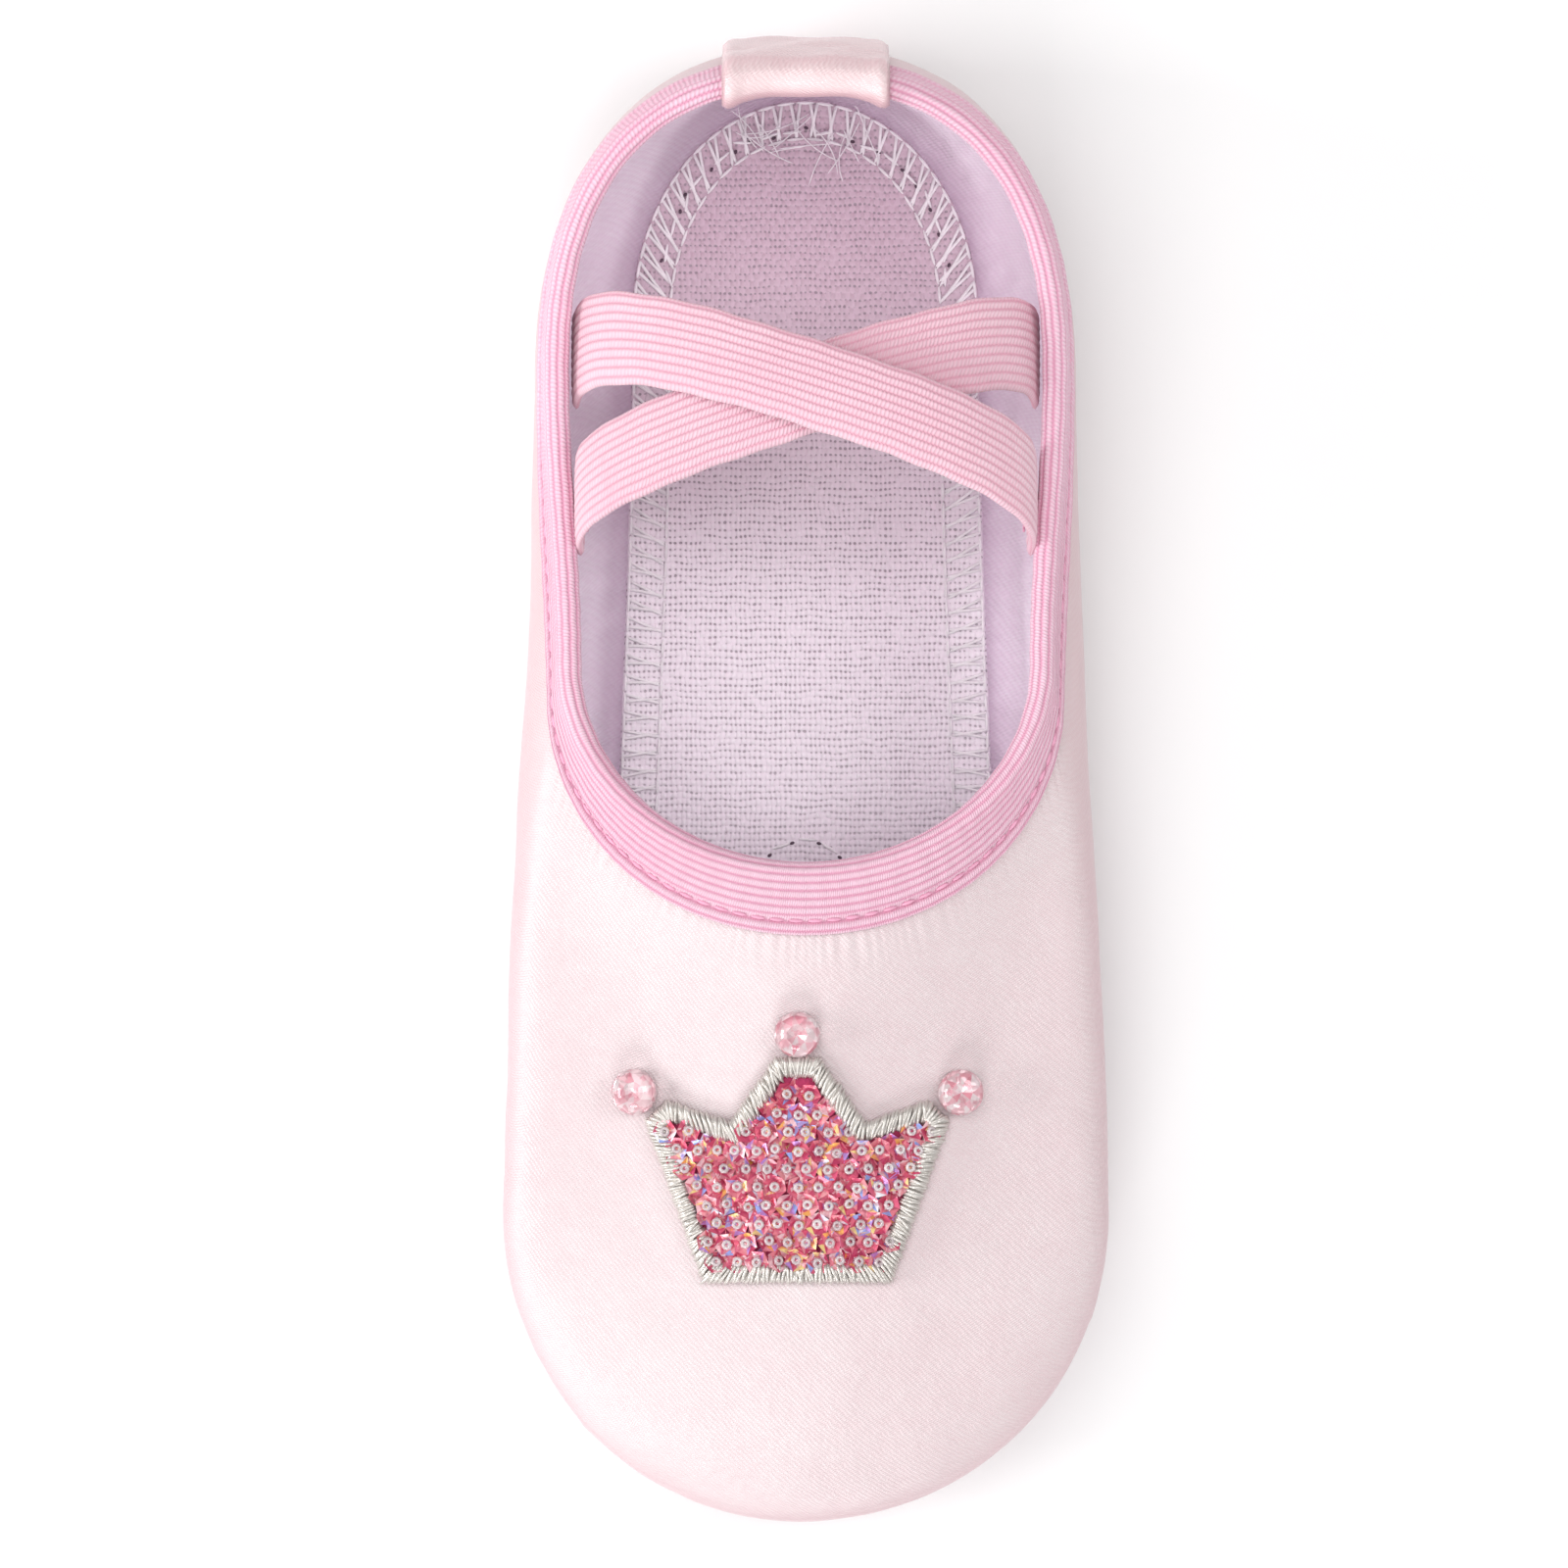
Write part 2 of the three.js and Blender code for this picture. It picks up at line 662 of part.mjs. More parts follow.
// Bar tacks that hold the sewn ends, on the foot's side of each end.
for (const [name, strapName, side, leftY, rightY] of [
  ["strap_tack_left_rear", "strap_over", -1, rearY, frontY],
  ["strap_tack_right_front", "strap_over", 1, rearY, frontY],
  ["strap_tack_left_front", "strap_under", -1, frontY, rearY],
  ["strap_tack_right_rear", "strap_under", 1, frontY, rearY],
]) {
  const { left, right, along } = strapPlaces(leftY, rightY);
  const tack = add(name, new THREE.BoxGeometry(threadThickness, tackLength, tackWidth), "pinkThread");
  const inwards = strapThickness + looseGap + threadThickness / 2;
  tack.position.copy(side < 0 ? left : right).addScaledVector(along, -side * inwards);
  tack.position.z -= strapTail / 2 + tackWidth / 4;
}

// ---- Crown -----------------------------------------------------------------------------------------------------

const crownCorner = ({ half, down }, side) => new THREE.Vector2(crownX + side * half, toeY + vampLength - down);

// The crown's outline, down the left side from the middle point, then up the right one.
function crownPoints() {
  const corners = [crownFoot, crownTipOuter, crownTipInner, crownValley, crownTop];
  return [...corners.toReversed().map((at) => crownCorner(at, -1)), ...corners.map((at) => crownCorner(at, 1))];
}

// A polygon walked anticlockwise, with every edge moved inwards by a distance.
function insetPolygon(points, distance) {
  return points.map((p, i) => {
    const before = points[(i + points.length - 1) % points.length];
    const after = points[(i + 1) % points.length];
    const a = p.clone().sub(before).normalize();
    const b = after.clone().sub(p).normalize();
    const inA = new THREE.Vector2(-a.y, a.x);
    const inB = new THREE.Vector2(-b.y, b.x);
    const corner = inA.clone().add(inB);
    return p.clone().addScaledVector(corner, distance / (1 + inA.dot(inB)));
  });
}

const ray = new THREE.Raycaster();
satin.material.side = THREE.DoubleSide;
function vampHeight(x, y) {
  ray.set(new THREE.Vector3(x, y, 100), new THREE.Vector3(0, 0, -1));
  return ray.intersectObject(satin)[0].point.z;
}

// Lays a flat solid on the vamp, its underside lifted clear of the satin.
function drape(flat, lift) {
  const geometry = bare(flat);
  const position = geometry.getAttribute("position");
  for (let i = 0; i < position.count; i++) {
    const x = position.getX(i);
    const y = position.getY(i);
    position.setZ(i, position.getZ(i) + vampHeight(x, y) + lift);
  }
  return geometry;
}

// A flat plate in small facets, so that it can bend.
function supplePlate(shape, thickness) {
  const flat = new THREE.ExtrudeGeometry(shape, { depth: thickness, bevelEnabled: false });
  return new TessellateModifier(crownFacet, 20).modify(flat);
}

const crown = crownPoints();
const field = insetPolygon(crown, crownBorder);
const backingLift = looseGap;
const onBacking = backingLift + crownBackingThickness + looseGap;
add("crown_backing", drape(supplePlate(new THREE.Shape(crown), crownBackingThickness), backingLift), "sequin");
const borderShape = new THREE.Shape(crown);
borderShape.holes.push(new THREE.Path(field));
add("crown_border", drape(supplePlate(borderShape, crownBorderThickness), onBacking), "silver");

// Where a horizontal line crosses a polygon, as [left, right] pairs.
function spansAt(points, y) {
  const crossings = [];
  points.forEach((p, i) => {
    const q = points[(i + 1) % points.length];
    if (p.y > y !== q.y > y) crossings.push(mix(p.x, q.x, (y - p.y) / (q.y - p.y)));
  });
  crossings.sort((a, b) => a - b);
  const pairs = [];
  for (let i = 0; i + 1 < crossings.length; i += 2) pairs.push([crossings[i], crossings[i + 1]]);
  return pairs;
}

// Level rows of sequins that fill the field, each as wide as the field is at the row's narrower edge.
const rowsBottom = crownCorner(crownFoot, 1).y + crownBorder + looseGap;
const rowsTop = crownCorner(crownTop, 1).y - crownBorder - looseGap;
const rowWidth = (rowsTop - rowsBottom - (sequinRows - 1) * sequinRowGap) / sequinRows;
for (let i = 0; i < sequinRows; i += 1) {
  const low = rowsBottom + i * (rowWidth + sequinRowGap);
  const spans = [low, low + rowWidth].map((y) => spansAt(field, y).find(([a, b]) => a < crownX && b > crownX));
  const start = Math.max(...spans.map(([a]) => a)) + looseGap;
  const end = Math.min(...spans.map(([, b]) => b)) - looseGap;
  const row = new THREE.BoxGeometry(end - start, rowWidth, sequinThickness, Math.ceil((end - start) / crownFacet));
  row.translate((start + end) / 2, low + rowWidth / 2, sequinThickness / 2);
  add("sequin_row_" + (i + 1), drape(row, onBacking), "sequin");
}

// A cut crystal: a low faceted dome on a flat foot.
function gem(name, x, y) {
  const profile = [
    [0, 0],
    [gemRadius * 0.8, 0],
    [gemRadius, gemHeight * 0.3],
    [gemRadius * 0.72, gemHeight * 0.78],
    [gemRadius * 0.42, gemHeight],
    [0, gemHeight],
  ].map(([r, h]) => new THREE.Vector2(r, h));
  const slope = gemRadius;
  const tiltX = Math.atan2(vampHeight(x, y + slope) - vampHeight(x, y - slope), 2 * slope);
  const tiltY = -Math.atan2(vampHeight(x + slope, y) - vampHeight(x - slope, y), 2 * slope);
  const mesh = add(name, new THREE.LatheGeometry(profile, 10), "gem");
  mesh.position.set(x, y, vampHeight(x, y) + looseGap);
  mesh.rotation.set(Math.PI / 2 + tiltX, 0, 0);
  mesh.rotateOnWorldAxis(new THREE.Vector3(0, 1, 0), tiltY);
}
// Each crystal sits against the middle of one of the crown's blunt points, between two corners of its outline.
function gemAt(name, a, b) {
  const outwards = new THREE.Vector2(b.y - a.y, a.x - b.x).setLength(gemRadius + looseGap);
  gem(name, (a.x + b.x) / 2 + outwards.x, (a.y + b.y) / 2 + outwards.y);
}
gemAt("gem_centre", crownCorner(crownTop, 1), crownCorner(crownTop, -1));
gemAt("gem_left", crownCorner(crownTipInner, -1), crownCorner(crownTipOuter, -1));
gemAt("gem_right", crownCorner(crownTipOuter, 1), crownCorner(crownTipInner, 1));

export default slipper;
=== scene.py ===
"""A child's satin ballet slipper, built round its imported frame: satin, lining, ribbed elastic,
suede, canvas, stitches, a satin-stitched crown of cup sequins and three crystals."""

import math

import bmesh
import bpy
import numpy as np
from mathutils import Matrix, Vector, noise
from mathutils.bvhtree import BVHTree


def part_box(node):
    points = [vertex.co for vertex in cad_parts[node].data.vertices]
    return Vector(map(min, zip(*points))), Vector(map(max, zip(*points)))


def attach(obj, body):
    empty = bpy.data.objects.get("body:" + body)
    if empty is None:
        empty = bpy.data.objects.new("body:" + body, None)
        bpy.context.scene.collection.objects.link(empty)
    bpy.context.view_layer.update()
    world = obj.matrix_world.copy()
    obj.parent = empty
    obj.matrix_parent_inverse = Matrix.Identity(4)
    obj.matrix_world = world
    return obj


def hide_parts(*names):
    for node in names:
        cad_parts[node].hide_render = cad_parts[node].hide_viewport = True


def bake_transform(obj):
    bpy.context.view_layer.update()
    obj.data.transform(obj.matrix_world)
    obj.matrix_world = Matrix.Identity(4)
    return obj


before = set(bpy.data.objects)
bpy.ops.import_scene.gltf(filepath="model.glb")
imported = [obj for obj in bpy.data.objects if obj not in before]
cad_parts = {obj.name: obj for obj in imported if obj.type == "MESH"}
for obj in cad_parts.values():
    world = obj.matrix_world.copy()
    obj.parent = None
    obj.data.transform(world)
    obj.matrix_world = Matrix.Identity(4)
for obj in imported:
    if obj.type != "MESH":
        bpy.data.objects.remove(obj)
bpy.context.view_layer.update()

bl_info = {
    "name": "Ballet Slipper",
    "version": (1, 0, 0),
    "blender": (4, 5, 0),
    "location": "3D View > Sidebar > Slipper",
    "description": "Builds a satin ballet slipper piece by piece",
    "category": "Object",
}

MM = 0.001
BODY = "slipper"
OVER = "over_strap"
UNDER = "under_strap"

# ---- The frame's surface, in millimetres ---------------------------------------------------------

SATIN_LOW, SATIN_HIGH = (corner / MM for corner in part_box("satin_upper"))
TOE_Y, HEEL_Y = SATIN_LOW.y, SATIN_HIGH.y
SOLE_Z = SATIN_LOW.z
SUEDE_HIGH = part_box("forefoot_sole")[1].z / MM
CANVAS_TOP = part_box("insole_canvas")[1].z / MM
GIRTH_Z = 14.0
SATIN = 0.5  # thickness of the satin, and of the lining
PLY_GAP = 0.15
LINING_DEPTH = SATIN + PLY_GAP
WALL_DEPTH = LINING_DEPTH + SATIN
BINDING_WIDTH = 7.6
BINDING_INNER = 4.4
SEAM_RISE = 1.7  # the binding's stitches, above its outer edge
BINDING_DEPTH = WALL_DEPTH + 0.85
HEEL_TOP_Z, SIDE_TOP_Z, THROAT_TOP_Z = 42.5, 29.5, 30.5
LOWEST_SIDE_Y = 22.0

STRAP_MIDDLE_Y = 41.6
STRAP_STAGGER = 18.0
STRAP_LEAN = 22.0
STRAP_TAIL = 4.5
STRAP_SQUARENESS = 2.7

FOREFOOT = {"broad": -72.0, "widest": -49.0, "tip": -5.0, "half": 23.2}
HEEL = {"broad": 81.0, "widest": 62.0, "tip": 30.0, "half": 19.1}

CROWN_X = -1.0
CROWN_RIGHT = ((11.4, -60.6), (18.5, -41), (15.8, -38.5), (8.2, -41.1), (2.7, -33.3))
CROWN = [(CROWN_X - x, y) for x, y in reversed(CROWN_RIGHT)] + [(CROWN_X + x, y) for x, y in CROWN_RIGHT]
CROWN_BORDER = 2.4


def mix(a, b, t):
    return a + (b - a) * t


def smooth(x, low, high):
    t = np.clip((x - low) / (high - low), 0, 1)
    return t * t * (3 - 2 * t)


def waves(share, turns, drift, drift_turns):
    """Waves along the outline that meet where it closes, pulled about by a slower wave."""
    return np.sin(np.pi * turns * share + drift * np.sin(np.pi * drift_turns * share))


def bump(x, width):
    """A soft bump of height 1 at 0."""
    return np.exp(-((x / width) ** 2))


def unit(v):
    return v / np.maximum(np.linalg.norm(v, axis=-1, keepdims=True), 1e-12)


def wobble(points, size, seed=0.0):
    """Smooth noise from -1 to 1 at points in millimetres, about size across."""
    shift = Vector((seed * 7.3, seed * 3.1, seed * 5.7))
    return np.array([noise.noise(Vector(p) / size + shift) for p in points])


class Outline:
    """A closed egg shape, walked by share: 0 at the heel, 1 at the toe, negative on the left."""

    def __init__(self, heel_y, heel_round, heel_half, toe_y, toe_round, toe_half, squareness=2.0):
        turn = np.linspace(0, math.pi / 2, 97)
        power = 2 / squareness
        heel_x = heel_half * np.sin(turn) ** power
        heel = np.c_[heel_x, heel_y - heel_round * (1 - np.cos(turn).clip(0) ** power)]
        t = np.linspace(0, 1, 98)[1:-1]
        side_y = mix(heel_y - heel_round, toe_y + toe_round, t)
        side = np.c_[mix(heel_half, toe_half, smooth(t, 0, 1)), side_y]
        toe = np.c_[toe_half * np.cos(turn), toe_y + toe_round * (1 - np.sin(turn))]
        self.points = np.vstack([heel, side, toe])
        steps = np.linalg.norm(np.diff(self.points, axis=0), axis=1)
        self.length = steps.sum()
        self.shares = np.r_[0, np.cumsum(steps)] / self.length

    def at(self, share):
        share = (np.asarray(share) + 1) % 2 - 1
        x = np.interp(np.abs(share), self.shares, self.points[:, 0])
        return np.c_[x * np.where(share < 0, -1, 1), np.interp(np.abs(share), self.shares, self.points[:, 1])]

    def half_width(self, y):
        return np.interp(-np.asarray(y), -self.points[:, 1], self.points[:, 0])


BALL_HALF = SATIN_HIGH.x
GIRTH_LINE = Outline(HEEL_Y, 41.5, 32.8, TOE_Y, BALL_HALF, BALL_HALF, 2.3)
TOP_LINE = Outline(HEEL_Y - 4.6, 36.0, 30.4, TOE_Y + 79.0, 25.0, 28.9, 2.4)
SOLE_HEEL, SOLE_HEEL_ROUND, SOLE_HEEL_HALF = HEEL_Y - 5.5, 27.0, 21.7
SOLE_TOE, SOLE_TOE_ROUND, SOLE_TOE_HALF = TOE_Y + 17.0, 26.0, 24.4


def inset_sole(inset):
    return Outline(
        SOLE_HEEL - inset,
        SOLE_HEEL_ROUND - inset,
        SOLE_HEEL_HALF - inset,
        SOLE_TOE + inset,
        SOLE_TOE_ROUND - inset,
        SOLE_TOE_HALF - inset,
    )


SOLE_LINE = inset_sole(0)


class Skin:
    """The outside of the satin, as threads from the top edge down to the flat sole."""

    COLUMNS = 961
    ROWS = 241

    def __init__(self):
        share = np.linspace(-1, 1, self.COLUMNS)
        sole = SOLE_LINE.at(share)
        girth = GIRTH_LINE.at(share)
        top = TOP_LINE.at(share + 0.13 * np.sin(np.pi * share))
        height = self.top_height(top[:, 1])
        front = smooth(np.abs(share), 0.5, 1)
        lean = np.radians(mix(80, 13, smooth(np.abs(share), 0.42, 1)))
        reach = mix(6, 36, front)
        back = unit(top - girth) * (np.cos(lean) * reach)[:, None]
        level = np.full_like(share, GIRTH_Z)
        ends = (
            np.c_[top, height],
            np.c_[top - back, height - np.sin(lean) * reach],
            np.c_[girth, level + mix(8, 12, front)],
            np.c_[girth, level],
        )
        t = np.linspace(0, 1, 73)
        weights = ((1 - t) ** 3, 3 * (1 - t) ** 2 * t, 3 * (1 - t) * t**2, t**3)
        wall = sum(w[None, :, None] * end[:, None, :] for w, end in zip(weights, ends))
        turn = np.linspace(0, math.pi / 2, 37)[1:]
        flat = girth[:, None, :] + (sole - girth)[:, None, :] * (1 - np.cos(turn))[None, :, None]
        rise = np.broadcast_to(mix(GIRTH_Z, SOLE_Z, np.sin(turn))[None, :, None], (len(share), len(turn), 1))
        points = np.concatenate([wall, np.concatenate([flat, rise], axis=2)], axis=1)
        steps = np.linalg.norm(np.diff(points, axis=1), axis=2)
        lengths = np.concatenate([np.zeros((len(share), 1)), np.cumsum(steps, axis=1)], axis=1)
        self.totals = lengths[:, -1]
        self.girths = lengths[:, len(t) - 1]
        fractions = np.linspace(0, 1, self.ROWS)
        table = np.empty((len(share), self.ROWS, 3))
        for i, (line, along) in enumerate(zip(points, lengths)):
            for k in range(3):
                table[i, :, k] = np.interp(fractions * along[-1], along, line[:, k])
        ring = table[:-1]
        across = np.roll(ring, -1, axis=0) - np.roll(ring, 1, axis=0)
        normals = unit(np.cross(across, np.gradient(ring, axis=1)))
        self.table = np.concatenate([table, np.concatenate([normals, normals[:1]])], axis=2)

    @staticmethod
    def top_height(y):
        heel, throat = TOP_LINE.points[0, 1], TOP_LINE.points[-1, 1]
        rear = mix(SIDE_TOP_Z, HEEL_TOP_Z, ((y - LOWEST_SIDE_Y) / (heel - LOWEST_SIDE_Y)) ** 2)
        front = mix(SIDE_TOP_Z, THROAT_TOP_Z, ((LOWEST_SIDE_Y - y) / (LOWEST_SIDE_Y - throat)) ** 2)
        return np.where(y > LOWEST_SIDE_Y, rear, front)

    def along(self, share, values):
        return np.interp((np.asarray(share) + 1) % 2 - 1, np.linspace(-1, 1, self.COLUMNS), values)

    def total(self, share):
        return self.along(share, self.totals)

    def girth(self, share):
        return self.along(share, self.girths)

    def sample(self, share, down):
        """Points and outward normals, down along the threads from the top edge."""
        share, down = np.broadcast_arrays(np.asarray(share, float), np.asarray(down, float))
        u = ((share + 1) % 2) / 2 * (self.COLUMNS - 1)
        v = np.clip(down / self.total(share), 0, 1) * (self.ROWS - 1)
        i, j = np.minimum(u.astype(int), self.COLUMNS - 2), np.minimum(v.astype(int), self.ROWS - 2)
        a, b = (u - i)[..., None], (v - j)[..., None]
        t = self.table
        low = mix(t[i, j], t[i + 1, j], a)
        both = mix(low, mix(t[i, j + 1], t[i + 1, j + 1], a), b)
        return both[..., :3], unit(both[..., 3:])

    def layer(self, share, down, depth):
        """The same points moved inwards by depth; above the top edge they go on upwards."""
        down = np.asarray(down, float)
        points, normals = self.sample(share, down)
        upwards = unit(
            self.sample(share, np.zeros_like(down))[0] - self.sample(share, np.full_like(down, 0.8))[0]
        )
        points = points + upwards * np.maximum(-down, 0)[..., None]
        return points - normals * np.asarray(depth)[..., None]

    def share_at_x(self, x, down):
        share = np.asarray(x, float) / GIRTH_LINE.length
        for _ in range(6):
            found = self.sample(share, down)[0][..., 0]
            share = share * np.where(np.abs(found) > 1e-6, x / np.where(np.abs(found) > 1e-6, found, 1), 1)
        return share


SKIN = Skin()


# ---- Mesh helpers --------------------------------------------------------------------------------


def shaped_grid(bm, columns, rows, place, uv_size=None):
    """Adds a grid to bm and moves each vertex to place(u, v), in millimetres, with u and v from 0 to 1."""
    verts = bmesh.ops.create_grid(bm, x_segments=columns, y_segments=rows, size=0.5)["verts"]
    at = np.array([vert.co.xy for vert in verts]) + 0.5
    for vert, co in zip(verts, np.asarray(place(at[:, 0], at[:, 1])) * MM):
        vert.co = co
    if uv_size is None:
        return verts
    layer = bm.loops.layers.uv.verify()
    uvs = dict(zip(verts, at * np.array(uv_size) * MM))
    for vert in verts:
        for loop in vert.link_loops:
            loop[layer].uv = uvs[vert]
    return verts


def tube(bm, line, radius, sides=5, taper=False):
    """A thread along a line of points in millimetres, drawn in to a point at both ends."""
    line = np.asarray(line, float)
    along = unit(np.gradient(line, axis=0))
    side = unit(np.cross(along, np.array([0.03, 0.05, 1.0])))
    lift = np.cross(side, along)
    last = len(line) - 1

    def place(u, v):
        i = np.rint(u * last).astype(int)
        ends = (i > 0) & (i < last)
        size = np.where(ends, radius, radius * 0.05)
        if taper:
            size = size * np.sin(np.pi * np.clip(u, 0.04, 0.96)) ** 0.5
        a = v * 2 * np.pi
        return line[i] + size[:, None] * (side[i] * np.cos(a)[:, None] + lift[i] * np.sin(a)[:, None])

    shaped_grid(bm, last, sides, place)


def finish_piece(bm, name, material, body=BODY, replaces=(), smooth_shading=True, merge=2e-6):
    """Merges doubles, turns the faces outwards and makes the object that rides on a body."""
    bmesh.ops.remove_doubles(bm, verts=bm.verts, dist=merge)
    bmesh.ops.dissolve_degenerate(bm, edges=bm.edges, dist=1e-7)
    bmesh.ops.recalc_face_normals(bm, faces=bm.faces)
    for face in bm.faces:
        face.smooth = smooth_shading
    mesh = bpy.data.meshes.new(name)
    bm.to_mesh(mesh)
    bm.free()
    mesh.materials.append(material)
    piece = bpy.data.objects.new(name, mesh)
    bpy.context.scene.collection.objects.link(piece)
    if body:
        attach(piece, body)
    if replaces:
        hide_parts(*replaces)
    return piece


# ---- Materials -----------------------------------------------------------------------------------


class Nodes:
    """Adds nodes to a tree and links them, from left to right."""

    def __init__(self, tree):
        self.tree = tree

    def add(self, kind, inputs=None, **settings):
        node = self.tree.nodes.new(kind)
        for name, value in settings.items():
            setattr(node, name, value)
        for key, value in (inputs or {}).items():
            if isinstance(value, bpy.types.NodeSocket):
                self.tree.links.new(value, node.inputs[key])
            else:
                node.inputs[key].default_value = value
        return node

    def math(self, operation, a, b=0.0, c=0.0):
        return self.add("ShaderNodeMath", {0: a, 1: b, 2: c}, operation=operation).outputs[0]

    def vector(self, operation, a, b=(0, 0, 0)):
        node = self.add("ShaderNodeVectorMath", {0: a, 1: b}, operation=operation)
        return node.outputs["Value" if operation == "DOT_PRODUCT" else "Vector"]

    def noise(self, vector, scale, detail=3.0, roughness=0.5):
        inputs = {"Vector": vector, "Scale": scale, "Detail": detail, "Roughness": roughness}
        return self.add("ShaderNodeTexNoise", inputs).outputs["Fac"]

    def ramp(self, value, low, high):
        inputs = {"Value": value, "From Min": low, "From Max": high}
        return self.add("ShaderNodeMapRange", inputs, interpolation_type="SMOOTHSTEP").outputs["Result"]

    def blend(self, factor, a, b, mode="MIX"):
        node = self.add("ShaderNodeMix", {0: factor, 6: a, 7: b}, data_type="RGBA", blend_type=mode)
        return node.outputs[2]


def shader_group(name, inputs, outputs, build):
    """A node group with named inputs and outputs, built once."""
    if name in bpy.data.node_groups:
        return bpy.data.node_groups[name]
    group = bpy.data.node_groups.new(name, "ShaderNodeTree")
    for socket, kind, default in inputs:
        made = group.interface.new_socket(name=socket, in_out="INPUT", socket_type=kind)
        if default is not None:
            made.default_value = default
    for socket, kind in outputs:
        group.interface.new_socket(name=socket, in_out="OUTPUT", socket_type=kind)
    nodes = Nodes(group)
    start = nodes.add("NodeGroupInput")
    results = build(nodes, start.outputs)
    nodes.add("NodeGroupOutput", dict(results))
    return group


VALUE, VECTOR, COLOUR = "NodeSocketFloat", "NodeSocketVector", "NodeSocketColor"


def mottle_group():
    """Slow and quick changes of shade, as cloth and leather have."""

    def build(nodes, given):
        slow = nodes.noise(given["Vector"], nodes.math("MULTIPLY", given["Scale"], 1.0), 3.0)
        quick = nodes.noise(given["Vector"], nodes.math("MULTIPLY", given["Scale"], 9.0), 4.0, 0.6)
        both = nodes.math("ADD", nodes.math("MULTIPLY", slow, 0.65), nodes.math("MULTIPLY", quick, 0.35))
        mask = nodes.ramp(both, 0.32, 0.68)
        amount = nodes.math("MULTIPLY", mask, given["Amount"])
        return {"Color": nodes.blend(amount, given["Color"], given["Shade"]), "Mask": mask}

    inputs = (
        ("Vector", VECTOR, None),
        ("Color", COLOUR, (1, 1, 1, 1)),
        ("Shade", COLOUR, (0.5, 0.5, 0.5, 1)),
        ("Scale", VALUE, 40.0),
        ("Amount", VALUE, 0.5),
    )
    return shader_group("Mottle", inputs, (("Color", COLOUR), ("Mask", VALUE)), build)


def twill_group():
    """Slanting ridges of short threads, the same on every side of the object."""

    def build(nodes, given):
        jitter = nodes.noise(given["Vector"], 900.0, 2.0)
        ridge = nodes.vector("DOT_PRODUCT", given["Vector"], (0.62, 0.55, 0.56))
        turns = nodes.math("DIVIDE", ridge, given["Pitch"])
        turns = nodes.math("ADD", turns, nodes.math("MULTIPLY", jitter, given["Unevenness"]))
        wave = nodes.math("SINE", nodes.math("MULTIPLY", turns, 2 * math.pi))
        thread = nodes.vector("DOT_PRODUCT", given["Vector"], (-0.7, 0.72, 0.3))
        beats = nodes.math("MULTIPLY", nodes.math("DIVIDE", thread, given["Pitch"]), 1.55)
        beats = nodes.math("ADD", beats, nodes.math("MULTIPLY", turns, 0.5))
        short = nodes.math("SINE", nodes.math("MULTIPLY", beats, 2 * math.pi))
        grain = nodes.math("MULTIPLY", nodes.math("SUBTRACT", jitter, 0.5), 0.8)
        height = nodes.math("MULTIPLY_ADD", wave, 0.22, nodes.math("MULTIPLY_ADD", short, 0.24, 0.5))
        height = nodes.math("ADD", height, grain)
        return {"Height": height, "Mask": nodes.ramp(height, 0.15, 0.85)}

    inputs = (("Vector", VECTOR, None), ("Pitch", VALUE, 0.0004), ("Unevenness", VALUE, 0.4))
    return shader_group("Twill", inputs, (("Height", VALUE), ("Mask", VALUE)), build)


def weave_group():
    """A plain weave of round threads with small holes where four threads meet."""

    def build(nodes, given):
        shake = nodes.add("ShaderNodeTexNoise", {"Vector": given["Vector"], "Scale": 260.0, "Detail": 2.0})
        centred = nodes.vector("SUBTRACT", shake.outputs["Color"], (0.5, 0.5, 0.5))
        moved = nodes.add(
            "ShaderNodeVectorMath", {0: centred, "Scale": given["Unevenness"]}, operation="SCALE"
        )
        place = nodes.vector("ADD", given["Vector"], moved.outputs["Vector"])
        split = nodes.add("ShaderNodeSeparateXYZ", {0: place})
        across = nodes.math("MULTIPLY", nodes.math("DIVIDE", split.outputs["X"], given["Pitch"]), math.pi)
        rows = nodes.math("MULTIPLY", given["Pitch"], given["Row"])
        along = nodes.math("MULTIPLY", nodes.math("DIVIDE", split.outputs["Y"], rows), math.pi)
        sines = nodes.math("MULTIPLY", nodes.math("SINE", across), nodes.math("SINE", along))
        rounds = nodes.math("ABSOLUTE", sines)
        over = nodes.math("MULTIPLY_ADD", sines, 0.2, 0.3)
        side = nodes.math("POWER", nodes.math("ABSOLUTE", nodes.math("COSINE", across)), 2.2)
        end = nodes.math("POWER", nodes.math("ABSOLUTE", nodes.math("COSINE", along)), 5.0)
        openness = nodes.math("MULTIPLY_ADD", nodes.noise(given["Vector"], 750.0, 2.0), 3.4, -0.8)
        holes = nodes.math(
            "MULTIPLY", nodes.math("MULTIPLY", side, end), nodes.math("MAXIMUM", openness, 0.2)
        )
        height = nodes.math("ADD", nodes.math("MULTIPLY", rounds, 0.5), over)
        height = nodes.math("SUBTRACT", height, nodes.math("MULTIPLY", holes, 0.6))
        return {"Height": height, "Holes": nodes.ramp(holes, 0.2, 0.75)}

    inputs = (
        ("Vector", VECTOR, None), ("Pitch", VALUE, 0.0006), ("Row", VALUE, 1.35),
        ("Unevenness", VALUE, 0.0003)
    )
    return shader_group("Plain Weave", inputs, (("Height", VALUE), ("Holes", VALUE)), build)


